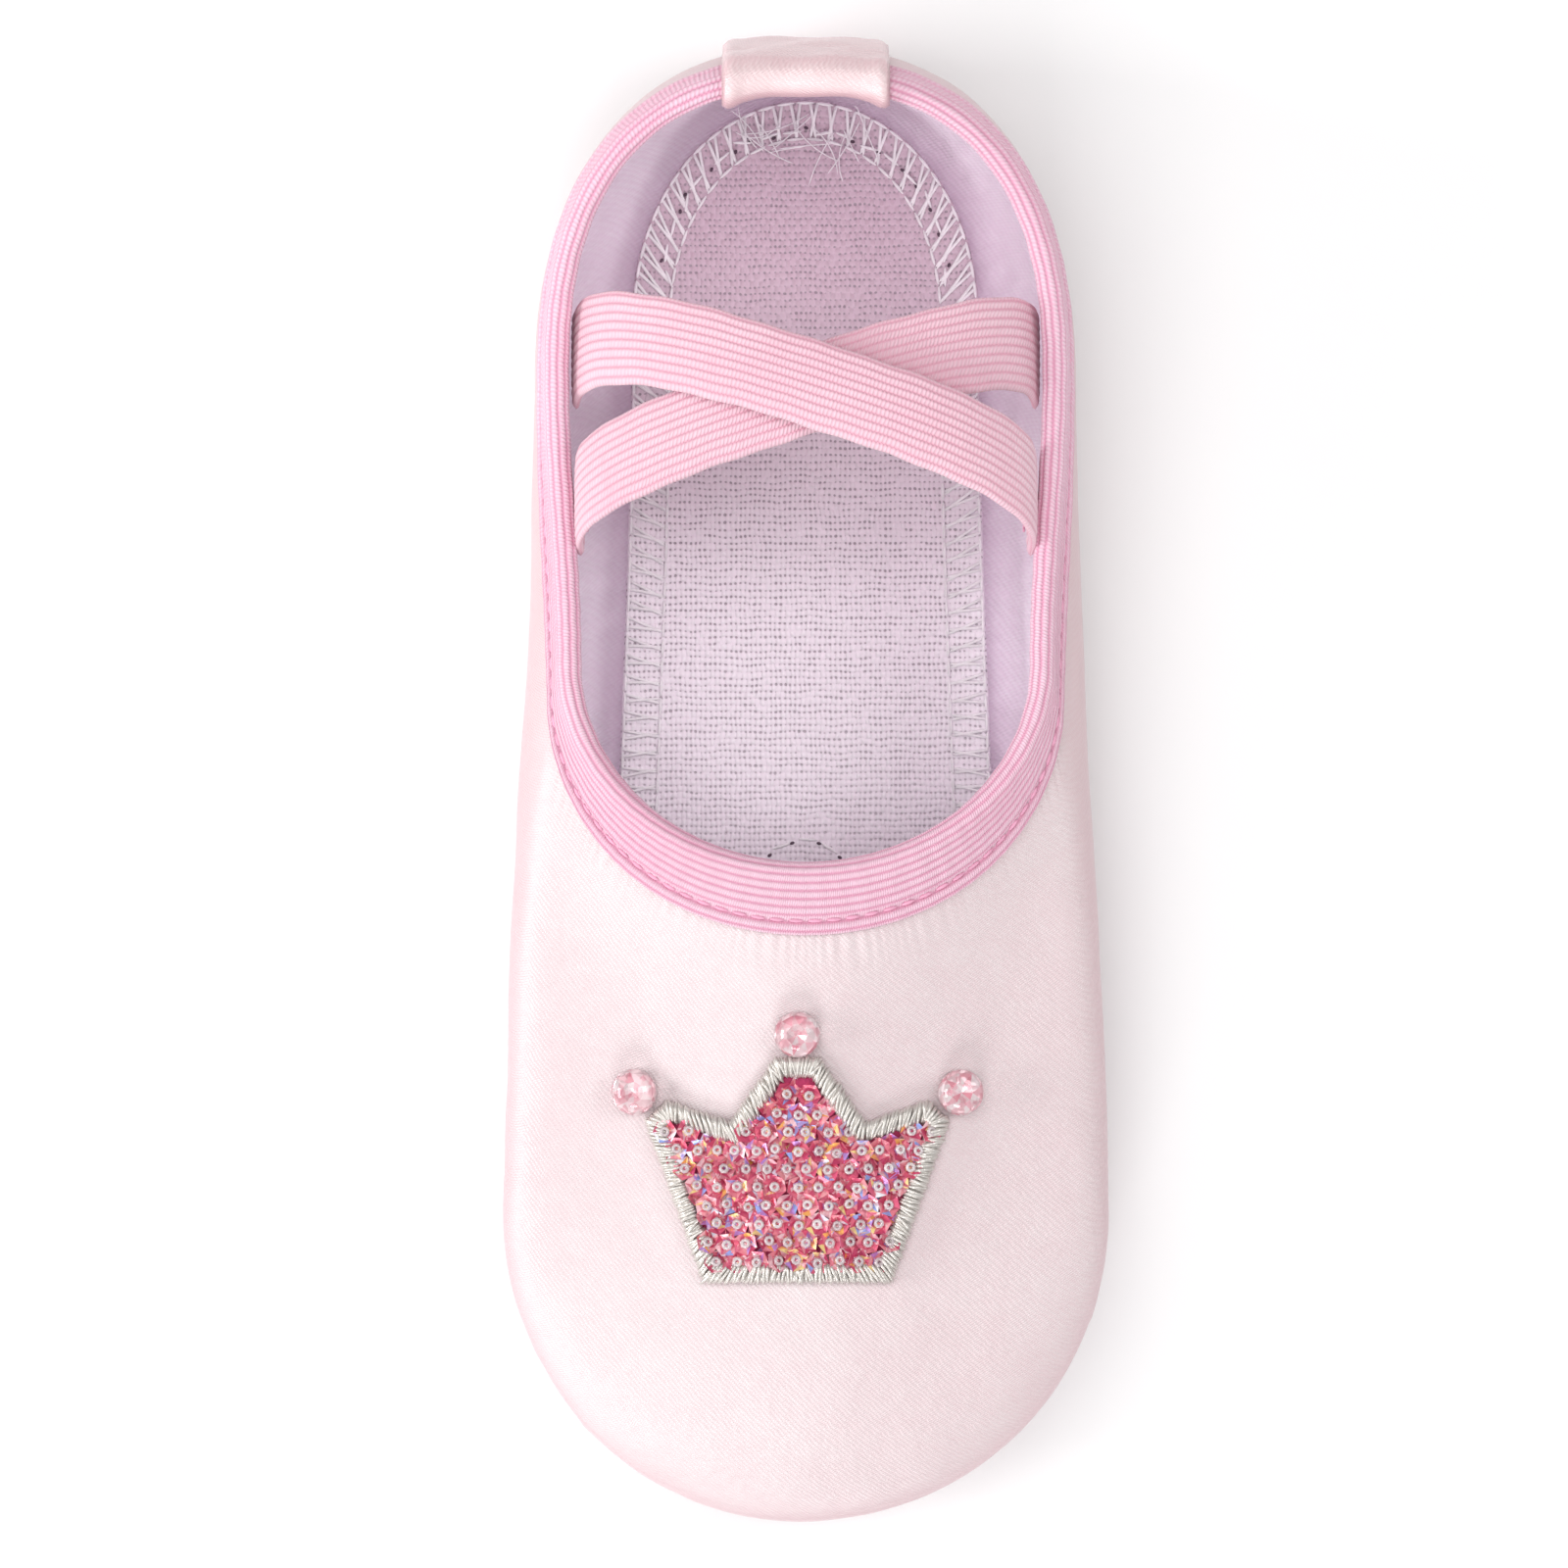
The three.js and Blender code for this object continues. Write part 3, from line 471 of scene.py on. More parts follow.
def elastic_group():
    """Ribs along a ribbon of elastic, each wrapped in short slanting threads. UV is in metres."""

    def build(nodes, given):
        split = nodes.add("ShaderNodeSeparateXYZ", {0: given["UV"]})
        rib = nodes.math("DIVIDE", split.outputs["Y"], given["Rib"])
        valley = nodes.math("ABSOLUTE", nodes.math("COSINE", nodes.math("MULTIPLY", rib, math.pi)))
        groove = nodes.math("POWER", valley, 5.0)
        count = nodes.math("FLOOR", rib)
        stagger = nodes.math("MULTIPLY", count, 0.5)
        jitter = nodes.noise(given["UV"], 700.0, 2.0)
        steps = nodes.math("ADD", nodes.math("DIVIDE", split.outputs["X"], given["Thread"]), stagger)
        steps = nodes.math("ADD", steps, nodes.math("MULTIPLY", jitter, 0.7))
        slant = nodes.math("MULTIPLY_ADD", rib, 0.6, steps)
        thread = nodes.math("SINE", nodes.math("MULTIPLY", slant, 2 * math.pi))
        height = nodes.math(
            "SUBTRACT", nodes.math("MULTIPLY_ADD", thread, 0.22, 0.6), nodes.math("MULTIPLY", groove, 0.5)
        )
        return {"Height": height, "Groove": groove, "Thread": nodes.ramp(thread, -1.0, 1.0)}

    inputs = (("UV", VECTOR, None), ("Rib", VALUE, 0.001), ("Thread", VALUE, 0.0004))
    outputs = (("Height", VALUE), ("Groove", VALUE), ("Thread", VALUE))
    return shader_group("Ribbed Elastic", inputs, outputs, build)


def start_material(name):
    """A new material with its nodes, its Object coordinates, its UV map and its Principled shader."""
    material = bpy.data.materials.new(name)
    material.use_nodes = True
    nodes = Nodes(material.node_tree)
    shader = material.node_tree.nodes["Principled BSDF"]
    coords = nodes.add("ShaderNodeTexCoord")
    return material, nodes, shader, coords.outputs["Object"], coords.outputs["UV"]


def use_group(nodes, group, **inputs):
    node = nodes.add("ShaderNodeGroup", node_tree=group)
    for name, value in inputs.items():
        if isinstance(value, bpy.types.NodeSocket):
            nodes.tree.links.new(value, node.inputs[name])
        else:
            node.inputs[name].default_value = value
    return node.outputs


def relief(nodes, shader, height, depth, under=None):
    """Feeds a height through a Bump node to the shader; under is a larger relief with its depth."""
    inputs = {"Height": height, "Strength": 1.0, "Distance": depth}
    if under:
        larger = nodes.add("ShaderNodeBump", {"Height": under[0], "Strength": 1.0, "Distance": under[1]})
        inputs["Normal"] = larger.outputs["Normal"]
    made = nodes.add("ShaderNodeBump", inputs)
    nodes.tree.links.new(made.outputs["Normal"], shader.inputs["Normal"])


def darker(colour, by):
    return (*(c * by for c in colour[:3]), 1)


def satin_material(colour, deep, name="Satin", grain=0.00045, shade=0.34, shine=0.42, turn=(0.08, 0.75)):
    """Woven satin with painted sheen and shade: paler where it lies level and pinker where it stands upright.
    """
    material, nodes, shader, place, _ = start_material(name)
    tint = use_group(nodes, mottle_group(), Vector=place, Color=colour, Shade=deep, Scale=26.0, Amount=0.3)
    twill = use_group(nodes, twill_group(), Vector=place, Pitch=grain, Unevenness=1.3)
    shaded = nodes.blend(
        nodes.math("MULTIPLY", nodes.math("SUBTRACT", 1.0, twill["Mask"]), shade), tint["Color"], deep
    )
    # Painted sheen and shade: own_normal's Z shows how level the cloth lies, and turned blends the colour
    # towards deep as it stands upright, over the range turn gives.
    own_normal = nodes.add("ShaderNodeTexCoord").outputs["Normal"]
    level = nodes.math("ABSOLUTE", nodes.add("ShaderNodeSeparateXYZ", {0: own_normal}).outputs["Z"])
    turned = nodes.math("MULTIPLY", nodes.ramp(nodes.math("SUBTRACT", 1.0, level), *turn), 0.75)
    nodes.tree.links.new(nodes.blend(turned, shaded, deep), shader.inputs["Base Color"])
    roughness = nodes.math("MULTIPLY_ADD", twill["Mask"], -0.08, shine)
    nodes.tree.links.new(roughness, shader.inputs["Roughness"])
    soft = nodes.noise(place, 160.0, 3.0)
    relief(nodes, shader, twill["Height"], 0.00006, under=(soft, 0.00025))
    shader.inputs["Specular IOR Level"].default_value = 1.0
    shader.inputs["Sheen Weight"].default_value = 0.05
    return material


def lining_material(colour, deep):
    material, nodes, shader, place, _ = start_material("Cotton Lining")
    tint = use_group(nodes, mottle_group(), Vector=place, Color=colour, Shade=deep, Scale=60.0, Amount=0.55)
    twill = use_group(nodes, twill_group(), Vector=place, Pitch=0.0006, Unevenness=0.8)
    shaded = nodes.blend(
        nodes.math("MULTIPLY", nodes.math("SUBTRACT", 1.0, twill["Mask"]), 0.45), tint["Color"], deep
    )
    nodes.tree.links.new(shaded, shader.inputs["Base Color"])
    relief(nodes, shader, twill["Height"], 0.00007)
    shader.inputs["Roughness"].default_value = 0.9
    shader.inputs["Sheen Weight"].default_value = 0.15
    return material


def canvas_material(colour, deep, pitch):
    material, nodes, shader, place, _ = start_material("Insole Canvas")
    tint = use_group(nodes, mottle_group(), Vector=place, Color=colour, Shade=deep, Scale=30.0, Amount=0.2)
    weave = use_group(nodes, weave_group(), Vector=place, Pitch=pitch, Unevenness=0.0009)
    along = nodes.add("ShaderNodeSeparateXYZ", {0: place}).outputs["Y"]
    # Painted shade: towards the heel the canvas is blended to a darker pink, as the heel's walls shade it.
    wear_and_painted_shade = nodes.math("MULTIPLY", nodes.ramp(along, 0.02, 0.07), 0.85)
    painted_heel_shade = (0.56, 0.38, 0.47, 1)
    cloth = nodes.blend(wear_and_painted_shade, tint["Color"], painted_heel_shade)
    # Painted light: the holes fade towards the throat, so the canvas there shows lighter.
    throat_light_hole_strength = nodes.math("MULTIPLY_ADD", nodes.ramp(along, -0.03, 0.03), 0.4, 0.4)
    pit = nodes.blend(nodes.math("MULTIPLY", weave["Holes"], throat_light_hole_strength), cloth, darker(deep, 0.25))
    thread = nodes.ramp(weave["Height"], 0.25, 0.9)
    lit = nodes.blend(nodes.math("MULTIPLY_ADD", thread, -0.25, 0.25), pit, deep)
    nodes.tree.links.new(lit, shader.inputs["Base Color"])
    relief(nodes, shader, weave["Height"], 0.00016)
    shader.inputs["Roughness"].default_value = 0.95
    shader.inputs["Sheen Weight"].default_value = 0.1
    return material


def elastic_material(name, colour, deep, rib, thread):
    material, nodes, shader, place, uv = start_material(name)
    tint = use_group(nodes, mottle_group(), Vector=place, Color=colour, Shade=deep, Scale=45.0, Amount=0.3)
    ribs = use_group(nodes, elastic_group(), UV=uv, Rib=rib, Thread=thread)
    grooved = nodes.blend(nodes.math("MULTIPLY", ribs["Groove"], 0.85), tint["Color"], deep)
    threaded = nodes.blend(nodes.math("MULTIPLY_ADD", ribs["Thread"], -0.35, 0.35), grooved, deep)
    nodes.tree.links.new(threaded, shader.inputs["Base Color"])
    relief(nodes, shader, ribs["Height"], 0.00016)
    shader.inputs["Roughness"].default_value = 0.72
    shader.inputs["Sheen Weight"].default_value = 0.3
    shader.inputs["Sheen Roughness"].default_value = 0.5
    return material


def suede_material(name, colour, deep):
    material, nodes, shader, place, _ = start_material(name)
    tint = use_group(nodes, mottle_group(), Vector=place, Color=colour, Shade=deep, Scale=55.0, Amount=0.6)
    nap = nodes.noise(place, 1500.0, 5.0, 0.65)
    clumps = nodes.noise(place, 420.0, 4.0, 0.6)
    fibres = nodes.ramp(
        nodes.math("ADD", nodes.math("MULTIPLY", nap, 0.5), nodes.math("MULTIPLY", clumps, 0.5)), 0.4, 0.6
    )
    shaded = nodes.blend(nodes.math("MULTIPLY_ADD", fibres, -0.5, 0.5), tint["Color"], deep)
    wear_and_painted_shade = nodes.ramp(nodes.noise(place, 38.0, 2.0), 0.56, 0.72)
    scuffed = nodes.blend(nodes.math("MULTIPLY", wear_and_painted_shade, 0.35), shaded, darker(deep, 0.8))
    nodes.tree.links.new(scuffed, shader.inputs["Base Color"])
    relief(nodes, shader, nap, 0.0002, under=(clumps, 0.0004))
    shader.inputs["Roughness"].default_value = 0.96
    shader.inputs["Sheen Weight"].default_value = 0.35
    shader.inputs["Sheen Roughness"].default_value = 0.6
    return material


def thread_material(name, colour, metal=0.0, roughness=0.6):
    material, nodes, shader, place, _ = start_material(name)
    deep = darker(colour, 0.72)
    tint = use_group(nodes, mottle_group(), Vector=place, Color=colour, Shade=deep, Scale=500.0, Amount=0.5)
    nodes.tree.links.new(tint["Color"], shader.inputs["Base Color"])
    twist = use_group(nodes, twill_group(), Vector=place, Pitch=0.00025, Unevenness=0.3)
    relief(nodes, shader, twist["Height"], 0.00002)
    shader.inputs["Roughness"].default_value = roughness
    shader.inputs["Metallic"].default_value = metal
    return material


def sequin_material(deep):
    """Each facet has its own shade, kept in a colour attribute, with painted glints of pale pink and random
    darker patches.
    """
    material, nodes, shader, place, _ = start_material("Sequin Film")
    own = nodes.add("ShaderNodeAttribute", attribute_name="Shade").outputs["Color"]
    dim = nodes.ramp(nodes.noise(place, 900.0, 2.0), 0.45, 0.6)
    shaded = nodes.blend(nodes.math("MULTIPLY", dim, 0.4), own, deep)
    painted_glint = nodes.ramp(nodes.noise(place, 1300.0, 2.0), 0.6, 0.66)
    flecked = nodes.blend(nodes.math("MULTIPLY", painted_glint, 0.6), shaded, (1.0, 0.78, 0.8, 1))
    nodes.tree.links.new(flecked, shader.inputs["Base Color"])
    relief(nodes, shader, nodes.noise(place, 2200.0, 2.0), 0.00006)
    shader.inputs["Roughness"].default_value = 0.3
    shader.inputs["Metallic"].default_value = 0.3
    shader.inputs["Coat Weight"].default_value = 0.35
    shader.inputs["Coat Roughness"].default_value = 0.08
    return material


def glass_material():
    """The clear pink dome of a crystal, over its cut and foiled underside."""
    material, nodes, shader, place, _ = start_material("Pink Glass")
    tint = use_group(
        nodes, mottle_group(), Vector=place, Color=(1.0, 0.86, 0.88, 1), Shade=(0.98, 0.76, 0.8, 1),
        Scale=150.0, Amount=0.6
    )
    nodes.tree.links.new(tint["Color"], shader.inputs["Base Color"])
    shader.inputs["Roughness"].default_value = 0.02
    shader.inputs["IOR"].default_value = 1.5
    shader.inputs["Transmission Weight"].default_value = 1.0
    return material


def crystal_material(deep):
    """Foil-backed cut glass: each facet has its own shade, some of them painted highlights, streaked with
    painted reflections of the facets behind it.
    """
    material, nodes, shader, place, _ = start_material("Crystal")
    own = nodes.add("ShaderNodeAttribute", attribute_name="Shade").outputs["Color"]
    painted_reflection_streak = nodes.ramp(nodes.noise(place, 1100.0, 1.0), 0.5, 0.6)
    shaded = nodes.blend(nodes.math("MULTIPLY", painted_reflection_streak, 0.5), own, deep)
    nodes.tree.links.new(shaded, shader.inputs["Base Color"])
    shader.inputs["Roughness"].default_value = 0.06
    shader.inputs["Specular IOR Level"].default_value = 0.9
    shader.inputs["Coat Weight"].default_value = 1.0
    shader.inputs["Coat Roughness"].default_value = 0.02
    return material


def bead_material():
    material, nodes, shader, place, _ = start_material("Seed Bead")
    tint = use_group(
        nodes, mottle_group(), Vector=place, Color=(0.92, 0.86, 0.87, 1),
        Shade=(0.66, 0.5, 0.53, 1), Scale=250.0, Amount=0.8
    )
    nodes.tree.links.new(tint["Color"], shader.inputs["Base Color"])
    shader.inputs["Roughness"].default_value = 0.08
    shader.inputs["Transmission Weight"].default_value = 0.4
    shader.inputs["Coat Weight"].default_value = 0.8
    shader.inputs["Coat Roughness"].default_value = 0.03
    return material


def felt_material(name, colour):
    material, nodes, shader, place, _ = start_material(name)
    tint = use_group(
        nodes, mottle_group(), Vector=place, Color=colour, Shade=darker(colour, 0.6), Scale=200.0, Amount=0.6
    )
    nodes.tree.links.new(tint["Color"], shader.inputs["Base Color"])
    relief(nodes, shader, nodes.noise(place, 1600.0, 4.0), 0.0002)
    shader.inputs["Roughness"].default_value = 0.95
    return material


def material(name):
    return bpy.data.materials[name]


# ---- Settings ------------------------------------------------------------------------------------


def colour_setting(name, description, default):
    return bpy.props.FloatVectorProperty(
        name=name, description=description, default=default, size=4, min=0, max=1, subtype="COLOR"
    )


def length_setting(name, description, default):
    return bpy.props.FloatProperty(name=name, description=description, default=default, min=0, unit="LENGTH")


class SlipperColours(bpy.types.PropertyGroup):
    satin: colour_setting("Satin", "Satin of the upper", (0.73, 0.64, 0.65, 1))
    # satin_deep is also the painted shade that the satin turns to where it stands upright.
    satin_deep: colour_setting(
        "Satin shade", "Satin between its threads and in its folds", (0.66, 0.44, 0.475, 1)
    )
    lining: colour_setting("Lining", "Cotton lining", (0.98, 0.9, 0.98, 1))
    lining_deep: colour_setting("Lining shade", "Lining between its ridges", (0.88, 0.72, 0.85, 1))
    canvas: colour_setting("Canvas", "Insole canvas", (0.99, 0.93, 0.985, 1))
    canvas_deep: colour_setting("Canvas shade", "Canvas between its threads", (0.86, 0.71, 0.82, 1))
    binding: colour_setting("Binding", "Elastic round the opening", (0.85, 0.61, 0.71, 1))
    binding_deep: colour_setting("Binding shade", "Grooves of the binding", (0.72, 0.28, 0.43, 1))
    strap: colour_setting("Strap", "Elastic of the straps", (0.83, 0.59, 0.665, 1))
    strap_deep: colour_setting("Strap shade", "Grooves of the straps", (0.75, 0.34, 0.45, 1))
    suede: colour_setting("Suede", "Sole patches", (0.55, 0.58, 0.62, 1))
    suede_deep: colour_setting("Suede shade", "Suede under its nap", (0.36, 0.39, 0.43, 1))
    silver: colour_setting("Silver thread", "Embroidered border", (0.74, 0.7, 0.66, 1))
    sequin: colour_setting("Sequin", "Sequins of the crown", (0.82, 0.07, 0.22, 1))
    sequin_deep: colour_setting("Sequin shade", "Darkest sequins", (0.45, 0.02, 0.13, 1))
    # crystal is painted reflection: the dark streaks stand for the facets seen behind the glass.
    crystal: colour_setting("Crystal shade", "Dark streaks in the crystals", (0.8, 0.24, 0.34, 1))


class SlipperSizes(bpy.types.PropertyGroup):
    rib: length_setting("Elastic rib", "Width of one rib of the binding", 0.001)
    strap_rib: length_setting("Strap rib", "Width of one rib of a strap", 0.00112)
    pleat_depth: length_setting("Pleat depth", "How far the toe pleats stand out", 0.0011)
    pleats: bpy.props.IntProperty(name="Pleats", description="Pleats round the toe", default=24, min=4)
    weave: length_setting("Weave pitch", "Distance between canvas threads", 0.00061)
    stitch: length_setting("Stitch pitch", "Distance between sole stitches", 0.0035)
    sequin: length_setting("Sequin", "Diameter of a cup sequin", 0.003)
    sequin_pitch: length_setting("Sequin pitch", "Distance between sequins", 0.0024)
    gather: length_setting("Gathers", "How far the lining's gathers stand out", 0.0003)


class SLIPPER_OT_materials(bpy.types.Operator):
    """Make every material of the slipper"""

    bl_idname = "slipper.materials"
    bl_label = "Materials"

    def execute(self, context):
        c = context.scene.slipper_colours
        sizes = context.scene.slipper_sizes
        satin_material(tuple(c.satin), tuple(c.satin_deep))
        # The heel tab's satin has the same painted sheen and shade: paler on its level crest, pinker down its
        # sides.
        satin_material(
            (0.86, 0.7, 0.71, 1), (0.7, 0.42, 0.46, 1), "Ribbon Satin", grain=0.00045, shade=0.3,
            shine=0.26, turn=(0.05, 0.6)
        )
        lining_material(tuple(c.lining), tuple(c.lining_deep))
        canvas_material(tuple(c.canvas), tuple(c.canvas_deep), sizes.weave)
        elastic_material("Binding Elastic", tuple(c.binding), tuple(c.binding_deep), sizes.rib, 0.00042)
        elastic_material("Strap Elastic", tuple(c.strap), tuple(c.strap_deep), sizes.strap_rib, 0.0005)
        suede_material("Forefoot Suede", tuple(c.suede), tuple(c.suede_deep))
        suede_material("Heel Suede", darker(c.suede, 0.88), darker(c.suede_deep, 0.88))
        thread_material("White Thread", (0.99, 0.95, 0.98, 1))
        thread_material("Pink Thread", (0.86, 0.42, 0.58, 1))
        # Needle Hole is near-black painted shade: small beads of it stand for the shadow inside the needle
        # holes.
        thread_material("Needle Hole Shade", (0.1, 0.06, 0.09, 1))
        thread_material("Silver Thread", tuple(c.silver), metal=0.6, roughness=0.3)
        sequin_material(tuple(c.sequin_deep))
        crystal_material(tuple(c.crystal))
        bead_material()
        glass_material()
        felt_material("Crown Felt", darker(c.sequin, 0.6))
        felt_material("Foam Pad", (0.8, 0.77, 0.78, 1))
        return {"FINISHED"}


# ---- Upper and lining ----------------------------------------------------------------------------

SOLE_SPINE = (SOLE_TOE + SOLE_TOE_ROUND, SOLE_HEEL - SOLE_HEEL_ROUND)


def to_spine(points, share):
    """Points of the sole drawn in towards its long middle line."""
    middle = np.zeros_like(points)
    middle[:, 1] = np.clip(points[:, 1], *SOLE_SPINE)
    middle[:, 2] = points[:, 2]
    return mix(points, middle, np.asarray(share)[..., None])


def cup_rows(outer, inner, wall, bottom):
    """Rows of a closed cup, up its outer face and down its inner one."""
    rows = [(1, 1 - i / bottom, outer) for i in range(bottom)]
    rows += [(1 - i / wall, 0, outer) for i in range(wall + 1)]
    rows += [(i / wall, 0, inner) for i in range(wall + 1)]
    rows += [(1, i / bottom, inner) for i in range(1, bottom + 1)]
    return np.array(rows, float)


def cup_of_cloth(bm, columns, rows, lift):
    """Adds a closed cup of cloth; lift gives how far each point stands out of its face."""
    last = len(rows) - 1

    def place(u, v):
        share = 2 * u - 1
        thread, inwards, depth = rows[np.rint(v * last).astype(int)].T
        points, normals = SKIN.sample(share, thread * SKIN.total(share))
        points = to_spine(points, inwards)
        outwards = lift(share, thread, inwards, depth, points) - depth
        return points + normals * outwards[:, None]

    return shaped_grid(bm, columns, last, place)


def toe_pleats(share, thread, inwards, count, depth):
    """Pleats that run from the suede out over the edge of the toe, each folded over to one side."""
    rng = np.random.default_rng(7)
    offset = np.where(share > 0, share - 1, share + 1)
    spread = 0.6  # how much of the outline the pleats take
    turn = (offset / spread + 0.5) * count
    index = np.clip(np.floor(turn).astype(int), 0, count - 1)
    strength = rng.uniform(0.55, 1.0, count)[index]
    reach = rng.uniform(0.55, 1.0, count)[index]
    skew = rng.uniform(0.5, 0.78, count)[index]
    part = turn - np.floor(turn)
    ridge = np.where(
        part < skew, smooth(part, 0.0, skew), 1 - smooth(part, skew, np.minimum(skew + 0.2, 1.0))
    )
    round_toe = 1 - smooth(np.abs(offset), 0.2, 0.3)
    below = (1 - thread) * SKIN.total(share)  # distance above the sole's edge
    turn_length = SKIN.total(share) - SKIN.girth(share)
    upwards = 1 - smooth(below / turn_length, 0.35 * reach, 1.25 * reach)
    return depth / MM * strength * ridge * round_toe * upwards * (1 - smooth(inwards, 0.12, 0.3))


class SLIPPER_OT_upper(bpy.types.Operator):
    """Make the satin upper with its toe pleats, and the cotton lining with its gathers"""

    bl_idname = "slipper.upper"
    bl_label = "Upper and Lining"

    def execute(self, context):
        sizes = context.scene.slipper_sizes

        def satin_lift(share, thread, inwards, depth, points):
            outer = depth < 0.1
            down = thread * SKIN.total(share)
            slow = wobble(points, 17.0, 1) * 0.28 + wobble(points, 6.5, 2) * 0.1
            pucker = waves(share, 136, 3, 18) * 0.1 * bump(down - 8.5, 2.6)
            hem = waves(share, 96, 2.2, 14) * 0.2 * smooth(thread, 0.9, 0.99)
            hem = hem * (1 - smooth(inwards, 0.05, 0.2))
            free = smooth(down, 6, 14) * (1 - smooth(inwards, 0.1, 0.3))
            pleats = toe_pleats(share, thread, inwards, sizes.pleats, sizes.pleat_depth)
            return np.where(outer, slow * free + pucker + hem + pleats, 0)

        bm = bmesh.new()
        cup_of_cloth(bm, 480, cup_rows(0, SATIN, 76, 10), satin_lift)
        finish_piece(bm, "satin_cloth", material("Satin"), replaces=("satin_upper",))

        def lining_lift(share, thread, inwards, depth, points):
            inner = depth > LINING_DEPTH + 0.1
            down = thread * SKIN.total(share)
            shown = smooth(down, 5, 8) * (1 - smooth(inwards, 0.0, 0.05))
            folds = wobble(np.c_[np.sin(np.pi * share) * 95, np.cos(np.pi * share) * 95, down * 0.5], 3.4, 3)
            slow = wobble(points, 9.0, 4)
            inwards_by = (np.maximum(folds, -0.2) + 0.2) * 1.7 * sizes.gather / MM + 0.25 * (slow + 0.5)
            return np.where(inner, -inwards_by * shown, 0)

        bm = bmesh.new()
        cup_of_cloth(bm, 440, cup_rows(LINING_DEPTH, WALL_DEPTH, 60, 6), lining_lift)
        finish_piece(
            bm, "lining_cloth", material("Cotton Lining"), replaces=("cotton_lining",)
        )
        return {"FINISHED"}


# ---- Stitches ------------------------------------------------------------------------------------


def stitch(bm, middle, along, up, length, radius, sides=6, rings=6):
    """One stitch, a small bead of thread lying along a line. Sizes are in millimetres."""
    along = Vector(along).normalized()
    up = Vector(up)
    up = (up - along * up.dot(along)).normalized()
    turn = Matrix((along, up.cross(along), up)).transposed().to_4x4()
    size = Matrix.Diagonal((length / 2 * MM, radius * MM, radius * MM, 1))
    matrix = Matrix.Translation(Vector(middle) * MM) @ turn @ size @ Matrix.Rotation(math.pi / 2, 4, "Y")
    bmesh.ops.create_uvsphere(bm, u_segments=sides, v_segments=rings, radius=1, matrix=matrix)


def walk(line, pitch, closed=True, phase=0.5):
    """Points and directions at even steps of about pitch along a line, from phase of a step in."""
    line = np.asarray(line, float)
    if closed:
        line = np.vstack([line, line[:1]])
    steps = np.r_[0, np.cumsum(np.linalg.norm(np.diff(line, axis=0), axis=1))]
    count = max(2, round(steps[-1] / pitch))
    at = (np.arange(count) + phase) / count * steps[-1]
    ahead = 0.15 * pitch
    points = np.stack([np.interp(at, steps, line[:, k]) for k in range(line.shape[1])], axis=1)
    after = np.stack([np.interp(at + ahead, steps, line[:, k]) for k in range(line.shape[1])], axis=1)
    before = np.stack([np.interp(at - ahead, steps, line[:, k]) for k in range(line.shape[1])], axis=1)
    return points, unit(after - before)


# ---- Binding -------------------------------------------------------------------------------------


def binding_section(rib):
    """The binding's closed section: [down, depth] points, their way along it, and its ribs."""
    rim = (BINDING_DEPTH + 0.85) / 2
    middle = BINDING_DEPTH - rim
    outside = [(BINDING_WIDTH, -0.2), (BINDING_WIDTH, -0.6), (BINDING_WIDTH - 0.15, -0.85), (0.4, -0.85)]
    turn = [
        (0.4 - rim * math.sin(a), middle - rim * math.cos(a)) for a in np.linspace(0.1, math.pi - 0.1, 25)
    ]
    inside = [
        (0.4, BINDING_DEPTH), (BINDING_INNER - 0.15, BINDING_DEPTH), (BINDING_INNER, BINDING_DEPTH - 0.2)
    ]
    shown = np.array(outside + turn + inside)
    steps = np.r_[0, np.cumsum(np.linalg.norm(np.diff(shown, axis=0), axis=1))]
    at = np.linspace(0, steps[-1], 112)
    face = np.stack([np.interp(at, steps, shown[:, k]) for k in range(2)], axis=1)
    along = unit(np.gradient(face, axis=0))
    out = np.c_[along[:, 1], -along[:, 0]] * -1
    ribs = 0.15 * np.abs(np.sin(np.pi * at / rib)) ** 0.7
    face = face + out * (ribs - 0.08)[:, None] * np.sign((out * (face - (4, middle))).sum(axis=1))[:, None]
    back = [(BINDING_INNER, WALL_DEPTH + 0.2), (0.5, WALL_DEPTH + 0.2), (-0.1, 0.9), (-0.1, 0.1), (0.5, -0.2)]
    loop = np.vstack([face, back])
    return loop, np.r_[at, np.full(len(back), at[-1])]


